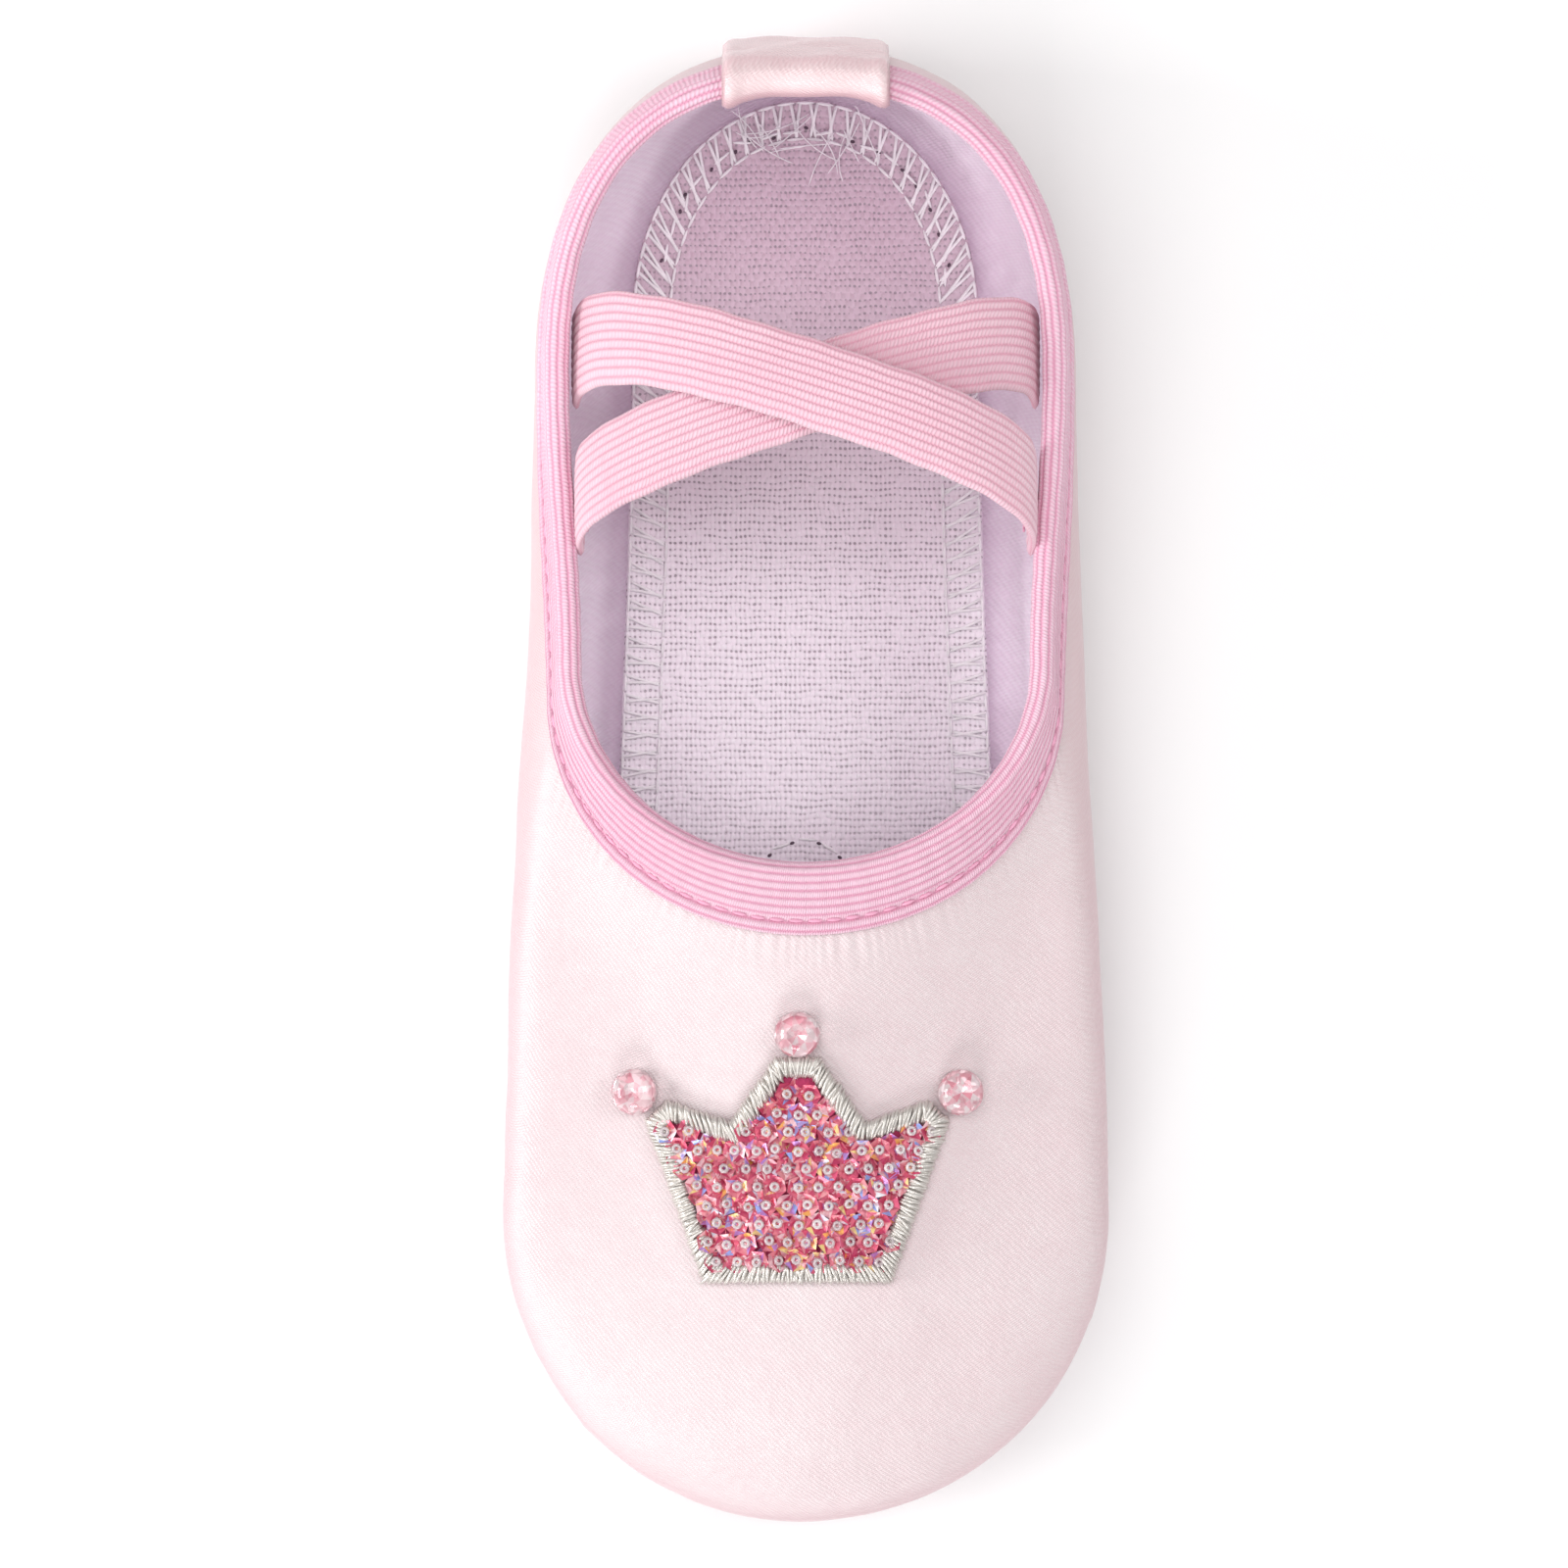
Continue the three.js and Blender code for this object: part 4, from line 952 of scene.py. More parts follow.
class SLIPPER_OT_binding(bpy.types.Operator):
    """Make the ribbed elastic that is folded over the top edge, and its row of stitches"""

    bl_idname = "slipper.binding"
    bl_label = "Binding"

    def execute(self, context):
        rib = context.scene.slipper_sizes.rib / MM
        loop, along = binding_section(rib)
        count = len(loop)
        seam = BINDING_WIDTH - SEAM_RISE
        round_length = 2 * TOP_LINE.length

        def place(u, v):
            share = 2 * u - 1
            down, depth = loop[np.rint(v * count).astype(int) % count].T
            outside = depth < 0
            pinch = 0.42 * bump(down - seam, 0.45) - 0.12 * bump(down - seam - 1.2, 0.7)
            unevenness = 0.03 * waves(share, 60, 2, 8)
            tuck = 0.07 * waves(share, 222, 1, 12) * bump(down - seam, 0.8)
            depth = depth + np.where(outside, pinch - unevenness + tuck, unevenness)
            return SKIN.layer(share, down, depth)

        bm = bmesh.new()
        verts = shaped_grid(bm, 460, count, place, uv_size=(1, 1))
        layer = bm.loops.layers.uv.verify()
        for vert in verts:
            for loop_corner in vert.link_loops:
                u, v = loop_corner[layer].uv / MM
                loop_corner[layer].uv = (u * round_length * MM, along[round(v * count) % count] * MM)
        finish_piece(
            bm, "binding_elastic", material("Binding Elastic"), replaces=("topline_binding",)
        )

        share = np.linspace(-1, 1, 1201)[:-1]
        line = SKIN.layer(share, np.full_like(share, seam), np.full_like(share, -0.62))
        out = SKIN.sample(share, np.full_like(share, seam))[1]
        points, along_line = walk(line, 2.3)
        normals = walk_values(line, out, 2.3)
        bm = bmesh.new()
        for point, direction, normal in zip(points, along_line, normals):
            stitch(bm, point, direction, normal, 1.7, 0.24)
        finish_piece(
            bm, "binding_stitches", material("Pink Thread"), replaces=("binding_stitch",)
        )
        return {"FINISHED"}


def walk_values(line, values, pitch):
    """Values of a closed line at the same steps as walk."""
    line = np.vstack([line, line[:1]])
    values = np.vstack([values, values[:1]])
    steps = np.r_[0, np.cumsum(np.linalg.norm(np.diff(line, axis=0), axis=1))]
    count = max(2, round(steps[-1] / pitch))
    at = (np.arange(count) + 0.5) / count * steps[-1]
    return unit(np.stack([np.interp(at, steps, values[:, k]) for k in range(3)], axis=1))


# ---- Heel tab and back seam ----------------------------------------------------------------------

TAB_WIDTH = 20.0
TAB_THICK = 0.6
TAB_GAP = 0.6
TAB_INSIDE = 8.5
TAB_SEAM = 2.2


def tab_path():
    """The tab's inner face, as [down, depth] pairs from under the heel patch to inside the rim."""
    total, girth = SKIN.total(0.0), SKIN.girth(0.0)
    over = -1.5
    path = [(mix(total - 1.5, girth, i / 6), -TAB_GAP) for i in range(7)]
    path += [
        (mix(girth, BINDING_WIDTH, 0.5), -TAB_GAP), (BINDING_WIDTH + 1.6, -TAB_GAP), (BINDING_WIDTH, over)
    ]
    path += [
        (0.6, over), (-1.2, over + 0.7), (-1.5, 0.5), (-1.2, BINDING_DEPTH - 0.3), (0.6, BINDING_DEPTH + 0.25)
    ]
    path += [(BINDING_INNER, BINDING_DEPTH + 0.25), (TAB_INSIDE, BINDING_DEPTH + 0.1)]
    path = np.array(path)
    steps = np.r_[0, np.cumsum(np.linalg.norm(np.diff(path, axis=0), axis=1))]
    at = np.linspace(0, steps[-1], 151)
    fine = np.stack([np.interp(at, steps, path[:, k]) for k in range(2)], axis=1)
    for _ in range(6):
        fine[1:-1] = (fine[:-2] + 2 * fine[1:-1] + fine[2:]) / 4
    return fine


class SLIPPER_OT_heel_tab(bpy.types.Operator):
    """Make the satin tab over the heel with its two rows of stitches and frayed end, and the seam below it"""

    bl_idname = "slipper.heel_tab"
    bl_label = "Heel Tab"

    def execute(self, context):
        path = tab_path()
        last = len(path) - 1
        spine = SKIN.layer(np.zeros(last + 1), path[:, 0], path[:, 1])
        along = unit(np.gradient(spine, axis=0))
        outwards = np.cross(along, np.array([1.0, 0.0, 0.0]))
        section = 64

        def on_tab(x, i, lift):
            down, depth = path[i].T
            points = SKIN.layer(SKIN.share_at_x(x, down), down, depth) + outwards[i] * lift[:, None]
            points[:, 0] = x
            return points

        def place(u, v):
            i = np.rint(u * last).astype(int)
            side = np.where(v < 0.5, 1.0, 0.0)
            x = (np.where(v < 0.5, 1 - 4 * v, 4 * v - 3)) * TAB_WIDTH / 2
            rim = np.clip(1 - (np.abs(x) / (TAB_WIDTH / 2)) ** 14, 0, 1) ** 0.5
            ends = np.minimum(1, np.minimum(u, 1 - u) * last / 1.5)
            hem = 0.3 * smooth(np.abs(x), 6.6, 8.2)
            seam = -0.28 * bump(np.abs(x) - (TAB_WIDTH / 2 - TAB_SEAM), 0.4)
            soft = 0.22 * np.sin(x * 0.62 + i * 0.11) + 0.16 * np.sin(i * 0.21 + x * 0.2)
            flare = 0.55 * (x / (TAB_WIDTH / 2)) ** 2
            thick = (TAB_THICK + hem + seam) * rim * ends
            raised = np.where(side > 0, soft * rim, 0) * 0.6
            lift = np.where(side > 0, thick, 0) + (1 - rim) * 0.3 + flare + raised
            return on_tab(x, i, lift)

        bm = bmesh.new()
        shaped_grid(bm, last, section, place)
        finish_piece(bm, "heel_ribbon", material("Ribbon Satin"), replaces=("heel_tab",))

        for name, side in (("left", -1), ("right", 1)):
            bm = bmesh.new()
            x = side * (TAB_WIDTH / 2 - TAB_SEAM)
            steps = np.arange(4, int(np.argmin(np.abs(path[:90, 0] - SKIN.girth(0.0)))) - 7)
            line = on_tab(np.full(len(steps), x), steps, np.full(len(steps), TAB_THICK + 0.42))
            points, directions = walk(line, 2.4, closed=False)
            for point, direction in zip(points, directions):
                up = np.cross(direction, (1.0, 0.0, 0.0))
                stitch(bm, point, direction, up, 1.8, 0.22)
            node = f"heel_tab_stitch_{name}"
            finish_piece(
                bm, f"tab_stitches_{name}", material("Pink Thread"), replaces=(node,)
            )

        rng = np.random.default_rng(3)
        bm = bmesh.new()
        for x in np.linspace(-TAB_WIDTH / 2 + 0.4, TAB_WIDTH / 2 - 0.4, 46):
            start = on_tab(np.array([x]), np.array([last - 1]), np.array([0.3]))[0]
            fall = rng.normal([0, 0.0, 0], [0.35, 0.2, 0.1]) + np.array([0, -0.25, -0.9])
            length = rng.uniform(0.5, 1.5)
            bend = rng.normal(0, 0.3, 3)
            t = np.linspace(0, 1, 5)[:, None]
            tube(bm, start + fall * length * t + bend * t**2 * 0.5, 0.07, sides=4)
        finish_piece(bm, "tab_fray", material("White Thread"))

        bm = bmesh.new()
        top, bottom = TAB_INSIDE + 1.5, SKIN.girth(0.0) + 2
        downs = np.arange(top, bottom, 0.75)
        for k, down in enumerate(downs):
            t = np.linspace(0, 1, 9)
            x = mix(-2, 2, t) * (1 if k % 2 else -1)
            fall = down + 0.75 * t
            arch = WALL_DEPTH + 0.45 + 0.35 * np.sin(np.pi * t)
            line = SKIN.layer(SKIN.share_at_x(np.where(x == 0, 1e-3, x), fall), fall, arch)
            line[:, 0] = x
            tube(bm, line, 0.2, sides=5)
        finish_piece(
            bm, "back_overlock", material("White Thread"), replaces=("back_seam",)
        )
        return {"FINISHED"}


# ---- Insole --------------------------------------------------------------------------------------

INSOLE_INSET = 0.5
INSOLE_EDGE = inset_sole(INSOLE_INSET)
OVERLOCK = 4.7
FOAM_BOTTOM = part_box("insole_foam")[0].z / MM


def edge_distance(points):
    """How far points of the sole lie inside the insole's edge, in millimetres, to the nearest side."""
    side = INSOLE_EDGE.half_width(points[:, 1]) - np.abs(points[:, 0])
    ends = np.minimum(INSOLE_EDGE.points[0, 1] - points[:, 1], points[:, 1] - INSOLE_EDGE.points[-1, 1])
    return np.minimum(side, ends)


def insole_top(points):
    """Height of the insole's top: a shallow hollow with its edge turned up a little against the wall."""
    rise = 0.9 * (1 - smooth(edge_distance(points), 0.0, 6.0))
    dish = 0.5 * bump(np.hypot(points[:, 0], (points[:, 1] - 55) * 0.8), 18)
    soft = 0.22 * wobble(np.c_[points[:, :2], 0 * points[:, 0]], 14.0, 5)
    return CANVAS_TOP + rise - dish + soft


class Patch:
    """A sole patch: round at its broad end and drawn out to a small round tip."""

    def __init__(self, broad, widest, tip, half):
        self.sizes = broad, widest, tip, half

    def edge(self, inset, count=60):
        """The closed outline, moved inwards by inset, as points."""
        broad, widest, tip, half = self.sizes
        towards = math.copysign(1, tip - broad)
        end, point = broad + towards * inset, tip - towards * inset
        half = (half - inset) * towards
        rounding = 0.56
        quarters = (
            ((0, end), (half * rounding, end), (half, mix(widest, end, rounding)), (half, widest)),
            ((half, widest), (half, mix(widest, point, 0.42)), (half * 0.36, point), (0, point)),
        )
        t = np.linspace(0, 1, count, endpoint=False)[:, None]
        right = np.vstack([
            (1 - t) ** 3 * a + 3 * (1 - t) ** 2 * t * b + 3 * (1 - t) * t**2 * c + t**3 * d
            for a, b, c, d in np.array(quarters)
        ])
        left = right[::-1] * (-1, 1)
        return np.vstack([right, [(0, point)], left[:-1]])


class SLIPPER_OT_insole(bpy.types.Operator):
    """Make the canvas insole on its foam, the overlocked edge, and the sole stitches that show through it"""

    bl_idname = "slipper.insole"
    bl_label = "Insole"

    def execute(self, context):
        rings = [(0, 0), (0.5, 0), (0.94, 0), (0.985, 0.05), (1, 0.3), (1, 0.75), (0.995, 0.95)]
        rings += [(t, 1) for t in 1 - np.linspace(0.01, 1, 44) ** 1.25]
        rings = np.array(rings)
        last = len(rings) - 1

        def place(u, v):
            way, height = rings[np.rint(v * last).astype(int)].T
            edge = np.c_[INSOLE_EDGE.at(2 * u - 1), 0 * u]
            points = to_spine(edge, 1 - way)
            points[:, 2] = mix(FOAM_BOTTOM, insole_top(points), height)
            return points

        bm = bmesh.new()
        shaped_grid(bm, 300, last, place)
        insole = finish_piece(
            bm, "insole_pad", material("Insole Canvas"),
            replaces=("insole_canvas", "insole_foam")
        )

        rng = np.random.default_rng(11)
        perimeter = 2 * INSOLE_EDGE.length
        bm = bmesh.new()
        count = round(perimeter / 1.15)
        reach = np.linspace(0, 1, 10)
        insets = [inset_sole(INSOLE_INSET + OVERLOCK * t) for t in reach]
        for k in range(count):
            share = 2 * (k + rng.uniform(-0.12, 0.12)) / count - 1
            slant = (0.0045 if k % 2 else -0.0045) + rng.uniform(-0.0008, 0.0008)
            line = np.array([[*outline.at([share + slant * t])[0], 0] for outline, t in zip(insets, reach)])
            line[:, 2] = insole_top(line) + 0.1 + 0.12 * np.sin(np.pi * reach)
            line[0, 2] -= 0.5
            tube(bm, line, 0.21, sides=5)
        finish_piece(
            bm, "insole_overlock_threads", material("White Thread"),
            replaces=("insole_overlock",)
        )

        bm = bmesh.new()
        for inset in (INSOLE_INSET + OVERLOCK, INSOLE_INSET + 0.35):
            ring = inset_sole(inset).at(np.linspace(-1, 1, 901)[:-1])
            ring = np.c_[ring, 0 * ring[:, 0]]
            ring[:, 2] = insole_top(ring) + 0.16
            points, directions = walk(ring, 2.4)
            for point, direction in zip(points, directions):
                stitch(bm, point, direction, (0, 0, 1), 2.2, 0.2)
        finish_piece(bm, "insole_edge_stitches", material("White Thread"))

        # holes holds painted shade: dark beads set between the stitches where the needle holes lie in shadow.
        threads, holes = bmesh.new(), bmesh.new()
        for patch, inset in ((HEEL, 2.0), (FOREFOOT, 2.4), (FOREFOOT, 6.4)):
            ring = Patch(**patch).edge(inset)
            for bm, phase, length, radius, lift in (
                (threads, 0.5, 2.4, 0.2, 0.1), (holes, 0.0, 0.6, 0.2, 0.02)
            ):
                points, directions = walk(ring, 3.2, phase=phase)
                for point, direction in zip(points, directions):
                    at = np.array([[*point, 0]])
                    at_heel = patch is HEEL and point[1] > 60
                    at_side = edge_distance(at)[0] < OVERLOCK + 0.6 and not at_heel
                    if at_side or (patch is HEEL and not at_heel):
                        continue
                    slip = rng.normal(0, 0.3 if at_heel else 0.12, 2)
                    middle = (
                        point[0] + slip[0], point[1] + slip[1],
                        insole_top(at)[0] + lift + (0.15 if at_heel else 0)
                    )
                    stitch(bm, middle, (*(direction + slip), 0), (0, 0, 1), length, radius)
        finish_piece(threads, "sole_stitches_above", material("White Thread"))
        finish_piece(holes, "insole_needle_hole_shade", material("Needle Hole Shade"))

        bm = bmesh.new()
        heel_end = INSOLE_EDGE.points[0, 1]
        for _ in range(16):
            start = np.array([rng.uniform(-8, 8), heel_end - rng.uniform(3, 7), 0])
            heading = math.radians(rng.normal(90, 42))
            length = rng.uniform(4, 9)
            t = np.linspace(0, 1, 12)[:, None]
            bend = rng.normal(0, 2.2)
            across = np.array([-math.sin(heading), math.cos(heading), 0])
            onwards = length * (t - 0.5) * (math.cos(heading), math.sin(heading), 0)
            line = start + onwards + across * bend * (t - 0.5) ** 2
            line[:, 1] = np.minimum(line[:, 1], heel_end - 0.8)
            line[:, 2] = insole_top(line) + 0.45 + 0.35 * np.sin(np.pi * t[:, 0])
            tube(bm, line, 0.08, sides=4)
        finish_piece(bm, "loose_threads", material("White Thread"))
        return {"FINISHED"}


# ---- Sole patches --------------------------------------------------------------------------------


class SLIPPER_OT_patches(bpy.types.Operator):
    """Make the two suede sole patches, their stitching grooves and their rows of stitches"""

    bl_idname = "slipper.patches"
    bl_label = "Sole Patches"

    def execute(self, context):
        pitch = context.scene.slipper_sizes.stitch / MM
        patches = (
            ("forefoot", FOREFOOT, {"forefoot_stitch_outer": 3.2, "forefoot_stitch_inner": 6.4}),
            ("heel", HEEL, {"heel_stitch": 3.2}),
        )
        for name, sizes, rows in patches:
            patch = Patch(**sizes)
            half = sizes["half"]
            fine = np.r_[np.linspace(0.4, 8.0, 58), np.linspace(8.8, half - 0.02, 16)][::-1]
            under = [(inset, sum(0.42 * bump(inset - row, 0.34) for row in rows.values())) for inset in fine]
            side = [(0.16, 0.06), (0.02, 0.28), (0, 0.55), (0.03, 0.85), (0.2, 1.05)]
            above = [(0.5, SUEDE_HIGH), (half * 0.5, SUEDE_HIGH), (half - 0.02, SUEDE_HIGH)]
            section = np.array(under + side + above)
            edges = np.array([patch.edge(inset) for inset in section[:, 0]])
            last = len(section) - 1
            columns = edges.shape[1]

            def place(u, v, section=section, edges=edges, last=last, columns=columns):
                row = np.rint(v * last).astype(int)
                xy = edges[row, np.rint(u * columns).astype(int) % columns]
                height = section[row, 1]
                rough = 0.09 * (wobble(np.c_[xy, height], 5.0, 6) + 1) * (height < 0.3)
                return np.c_[xy, np.clip(height + rough, 0, SUEDE_HIGH)]

            bm = bmesh.new()
            shaped_grid(bm, columns, last, place)
            suede = material(f"{name.capitalize()} Suede")
            finish_piece(bm, f"{name}_suede", suede, replaces=(f"{name}_sole",))
            for node, inset in rows.items():
                bm = bmesh.new()
                line = np.pad(patch.edge(inset), ((0, 0), (0, 1)), constant_values=0.3)
                points, directions = walk(line, pitch)
                for point, direction in zip(points, directions):
                    stitch(bm, point, direction, (0, 0, -1), pitch * 0.78, 0.27)
                finish_piece(bm, f"{node}es", material("White Thread"), replaces=(node,))
                # Painted shade: dark beads between the stitches stand for the shadow inside the needle holes.
                bm = bmesh.new()
                points, directions = walk(line, pitch, phase=0.0)
                for point, direction in zip(points, directions):
                    stitch(bm, point + (0, 0, 0.06), direction, (0, 0, -1), 0.8, 0.3)
                finish_piece(bm, f"{node}_holes", material("Needle Hole Shade"))
        return {"FINISHED"}


# ---- Straps --------------------------------------------------------------------------------------

STRAP_WIDTH = 11.6
STRAP_THICK = 1.0
STRAP_DROP = 2.4
STRAP_RISE = 13.0
STRAP_CROSSING = 2.7
STRAP_CLEAR = 0.2


def wall_x(y):
    """The inside of the binding at a height along the slipper."""
    share = np.linspace(0.05, 0.9, 400)
    top = TOP_LINE.at(share + 0.13 * np.sin(np.pi * share))[:, 1]
    found = np.interp(-y, -top, share)
    return SKIN.layer(found, STRAP_DROP, BINDING_DEPTH)[0]


def strap_ends(left_y, right_y):
    left, right = (min(wall_x(y - STRAP_WIDTH / 2), wall_x(y + STRAP_WIDTH / 2)) for y in (left_y, right_y))
    height = float(SKIN.top_height(np.array(STRAP_MIDDLE_Y))) - STRAP_DROP
    return np.array([STRAP_CLEAR - left, left_y, height]), np.array([right - STRAP_CLEAR, right_y, height])


def strap_mesh(bm, left_y, right_y, crown, rib, seed):
    """A flat ribbed elastic from a sewn tail, over the foot in an arch, to the other tail."""
    left, right = strap_ends(left_y, right_y)
    along = unit(right - left)
    middle = (left + right) / 2
    half = np.linalg.norm(right - left) / 2 - STRAP_THICK / 2
    turned = Matrix.Rotation(-math.radians(STRAP_LEAN), 3, Vector(along)) @ Vector((0, 0, 1))
    up = np.array(turned)
    a = np.linspace(math.pi, 0, 91)
    power = 2 / STRAP_SQUARENESS
    arch = np.c_[half * np.sign(np.cos(a)) * np.abs(np.cos(a)) ** power, crown * np.sin(a).clip(0) ** power]
    tail = np.linspace(-STRAP_TAIL, 0, 7)[:-1]
    line = np.vstack([np.c_[0 * tail - half, tail], arch, np.c_[0 * tail + half, tail[::-1]]])
    steps = np.r_[0, np.cumsum(np.linalg.norm(np.diff(line, axis=0), axis=1))]
    at = np.linspace(0, steps[-1], 121)
    line = np.stack([np.interp(at, steps, line[:, k]) for k in range(2)], axis=1)
    tangent = unit(np.gradient(line, axis=0))
    last = len(line) - 1
    section = 92

    def place(u, v):
        i = np.rint(u * last).astype(int)
        y = np.where(v < 0.5, 2 * v, 2 - 2 * v)  # 0 to 1 across the strap and back
        side = np.where(v < 0.5, -1.0, 1.0)
        thick = STRAP_THICK / 2 * np.clip(1 - np.abs(2 * y - 1) ** 10, 0, 1) ** 0.5
        ribs = 0.13 * np.abs(np.sin(np.pi * y * STRAP_WIDTH / rib)) ** 0.7 - 0.07
        ends = np.minimum(1, np.minimum(i, last - i) / 1.5)
        lift = side * (thick + ribs * np.minimum(1, thick * 4)) * ends
        curl = 0.45 * (2 * y - 1) ** 2 * np.sin(np.pi * u) * -1
        lift = lift + curl
        along_part = line[i, 0] - lift * tangent[i, 1]
        up_part = line[i, 1] + lift * tangent[i, 0]
        rise = np.where(up_part[:, None] > 0, up_part[:, None] * up, up_part[:, None] * np.array([0, 0, 1.0]))
        edge = 0.12 * np.sin(i * 0.7 + seed) + 0.1 * np.sin(i * 0.31 + 2 * seed)
        across = (y - 0.5) * (STRAP_WIDTH - 0.8 * np.sin(np.pi * u)) + edge * (y - 0.5)
        return middle + along_part[:, None] * along + rise + across[:, None] * np.array([0, 1.0, 0])

    shaped_grid(bm, last, section, place, uv_size=(steps[-1], 2 * STRAP_WIDTH))


class SLIPPER_OT_straps(bpy.types.Operator):
    """Make the two crossed elastic straps and the bar tacks that hold their ends"""

    bl_idname = "slipper.straps"
    bl_label = "Straps"

    def execute(self, context):
        rib = context.scene.slipper_sizes.strap_rib / MM
        rear, front = STRAP_MIDDLE_Y + STRAP_STAGGER / 2, STRAP_MIDDLE_Y - STRAP_STAGGER / 2
        straps = (
            ("over", OVER, rear, front, STRAP_RISE + STRAP_CROSSING, {"left_rear": -1, "right_front": 1}),
            ("under", UNDER, front, rear, STRAP_RISE, {"left_front": -1, "right_rear": 1}),
        )
        for name, body, left_y, right_y, crown, tacks in straps:
            bm = bmesh.new()
            strap_mesh(bm, left_y, right_y, crown, rib, len(name))
            elastic = material("Strap Elastic")
            strap = finish_piece(
                bm, f"{name}_elastic", elastic, body=None, replaces=(f"strap_{name}",)
            )
            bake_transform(strap)
            left, right = strap_ends(left_y, right_y)
            along = unit(right - left)
            for node, side in tacks.items():
                end = (left if side < 0 else right) - side * along * (STRAP_THICK + 0.35)
                bm = bmesh.new()
                for k in range(9):
                    z = end[2] - 3.4 + 0.28 * (k % 2)
                    y = end[1] + (k - 4) * 0.78
                    for step in range(2):
                        line = np.array(
                            [[end[0], y + 0.39 * step + 0.35 * t, z + 1.6 * t] for t in np.linspace(0, 1, 5)]
                        )
                        tube(bm, line, 0.17, sides=5)
                tack = finish_piece(
                    bm, f"tack_{node}", material("Pink Thread"), body=None,
                    replaces=(f"strap_tack_{node}",)
                )
                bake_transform(tack)
        return {"FINISHED"}


# ---- Crown ---------------------------------------------------------------------------------------


class Vamp:
    """The front of the satin, found from above."""

    def __init__(self):
        bm = bmesh.new()
        bm.from_mesh(bpy.data.objects["satin_cloth"].data)
        self.tree = BVHTree.FromBMesh(bm)
        bm.free()

    def at(self, x, y):
        point, normal, _, _ = self.tree.ray_cast(Vector((x, y, 100)) * MM, Vector((0, 0, -1)))
        return point / MM, normal if normal.z > 0 else -normal

    def heights(self, xy):
        return np.array([self.at(x, y)[0].z for x, y in xy])


def inset_polygon(points, distance):
    points = np.asarray(points, float)
    before = unit(points - np.roll(points, 1, axis=0))
    after = np.roll(before, -1, axis=0)
    inwards_a = np.c_[-before[:, 1], before[:, 0]]
    inwards_b = np.c_[-after[:, 1], after[:, 0]]
    scale = distance / (1 + (inwards_a * inwards_b).sum(axis=1))
    return points + (inwards_a + inwards_b) * scale[:, None]


def inside(polygon, x, y):
    found = False
    for p, q in zip(polygon, np.roll(polygon, -1, axis=0)):
        if (p[1] > y) != (q[1] > y) and x < p[0] + (y - p[1]) / (q[1] - p[1]) * (q[0] - p[0]):
            found = not found
    return found


SEQUIN_SHADES = (
    (0.8, 0.16, 0.24), (0.72, 0.1, 0.18), (0.86, 0.24, 0.3), (0.6, 0.06, 0.13), (0.88, 0.34, 0.38)
)
# Painted glints for some facets: the pale pinks are painted highlights, and the violet, blue, orange, gold
# and lavender are the film's holographic colours.
SEQUIN_GLINTS_AND_HOLOGRAPHIC = (
    (0.95, 0.55, 0.6),
    (0.96, 0.62, 0.66),
    (0.55, 0.3, 0.75),
    (0.35, 0.45, 0.9),
    (0.98, 0.45, 0.12),
    (1.0, 0.75, 0.3),
    (0.85, 0.85, 1.0),
)
# Pinks of the glass and its foil, with near-whites that are painted highlights on the facets.
CRYSTAL_PINKS_AND_GLINTS = (
    (1.0, 0.8, 0.83), (0.97, 0.62, 0.68), (0.88, 0.38, 0.46), (1.0, 0.96, 0.97), (1.0, 0.92, 0.93)
)


def paint_facets(verts, layer, rng, shades, glint_shades, share):
    """Gives each face of a piece its own shade, or for some of them a painted glint from glint_shades."""
    for face in dict.fromkeys(face for vert in verts for face in vert.link_faces):
        chosen = glint_shades if rng.uniform() < share else shades
        shade = np.array(chosen[rng.integers(len(chosen))]) * rng.uniform(0.85, 1.1)
        for corner in face.loops:
            corner[layer] = (*shade.clip(0, 1), 1)


def turned_ring(bm, profile, sides, matrix, twist=0.0):
    """A profile of (radius, height) points turned about Z; twist turns every other row."""
    last = len(profile) - 1
    verts = bmesh.ops.create_grid(bm, x_segments=sides, y_segments=last, size=0.5)["verts"]
    for vert in verts:
        row = round((vert.co.y + 0.5) * last)
        radius, height = profile[row]
        angle = 2 * math.pi * (vert.co.x + 0.5 + (row % 2) * twist / sides)
        vert.co = matrix @ Vector((radius * math.cos(angle), radius * math.sin(angle), height))
    return verts


SEQUIN_PROFILE = np.array([(0.0, 0.06), (0.5, 0.1), (1.0, 0.34), (1.0, 0.27), (0.5, 0.03), (0.0, 0.0)])
BEAD_PROFILE = np.array(
    [(0.22, 0.0), (0.42, -0.13), (0.66, 0.0), (0.62, 0.26), (0.42, 0.38), (0.22, 0.24), (0.22, 0.0)]
)
CRYSTAL_PROFILE = np.array([(0, 0), (0.8, 0), (0.94, 0.14), (0.74, 0.3), (0.4, 0.38), (0, 0.2)])
DOME_PROFILE = np.array(
    [(0, -0.02), (0.9, -0.02), (1.0, 0.2), (0.98, 0.42), (0.88, 0.66), (0.68, 0.86), (0.4, 0.97), (0, 1.0)]
)


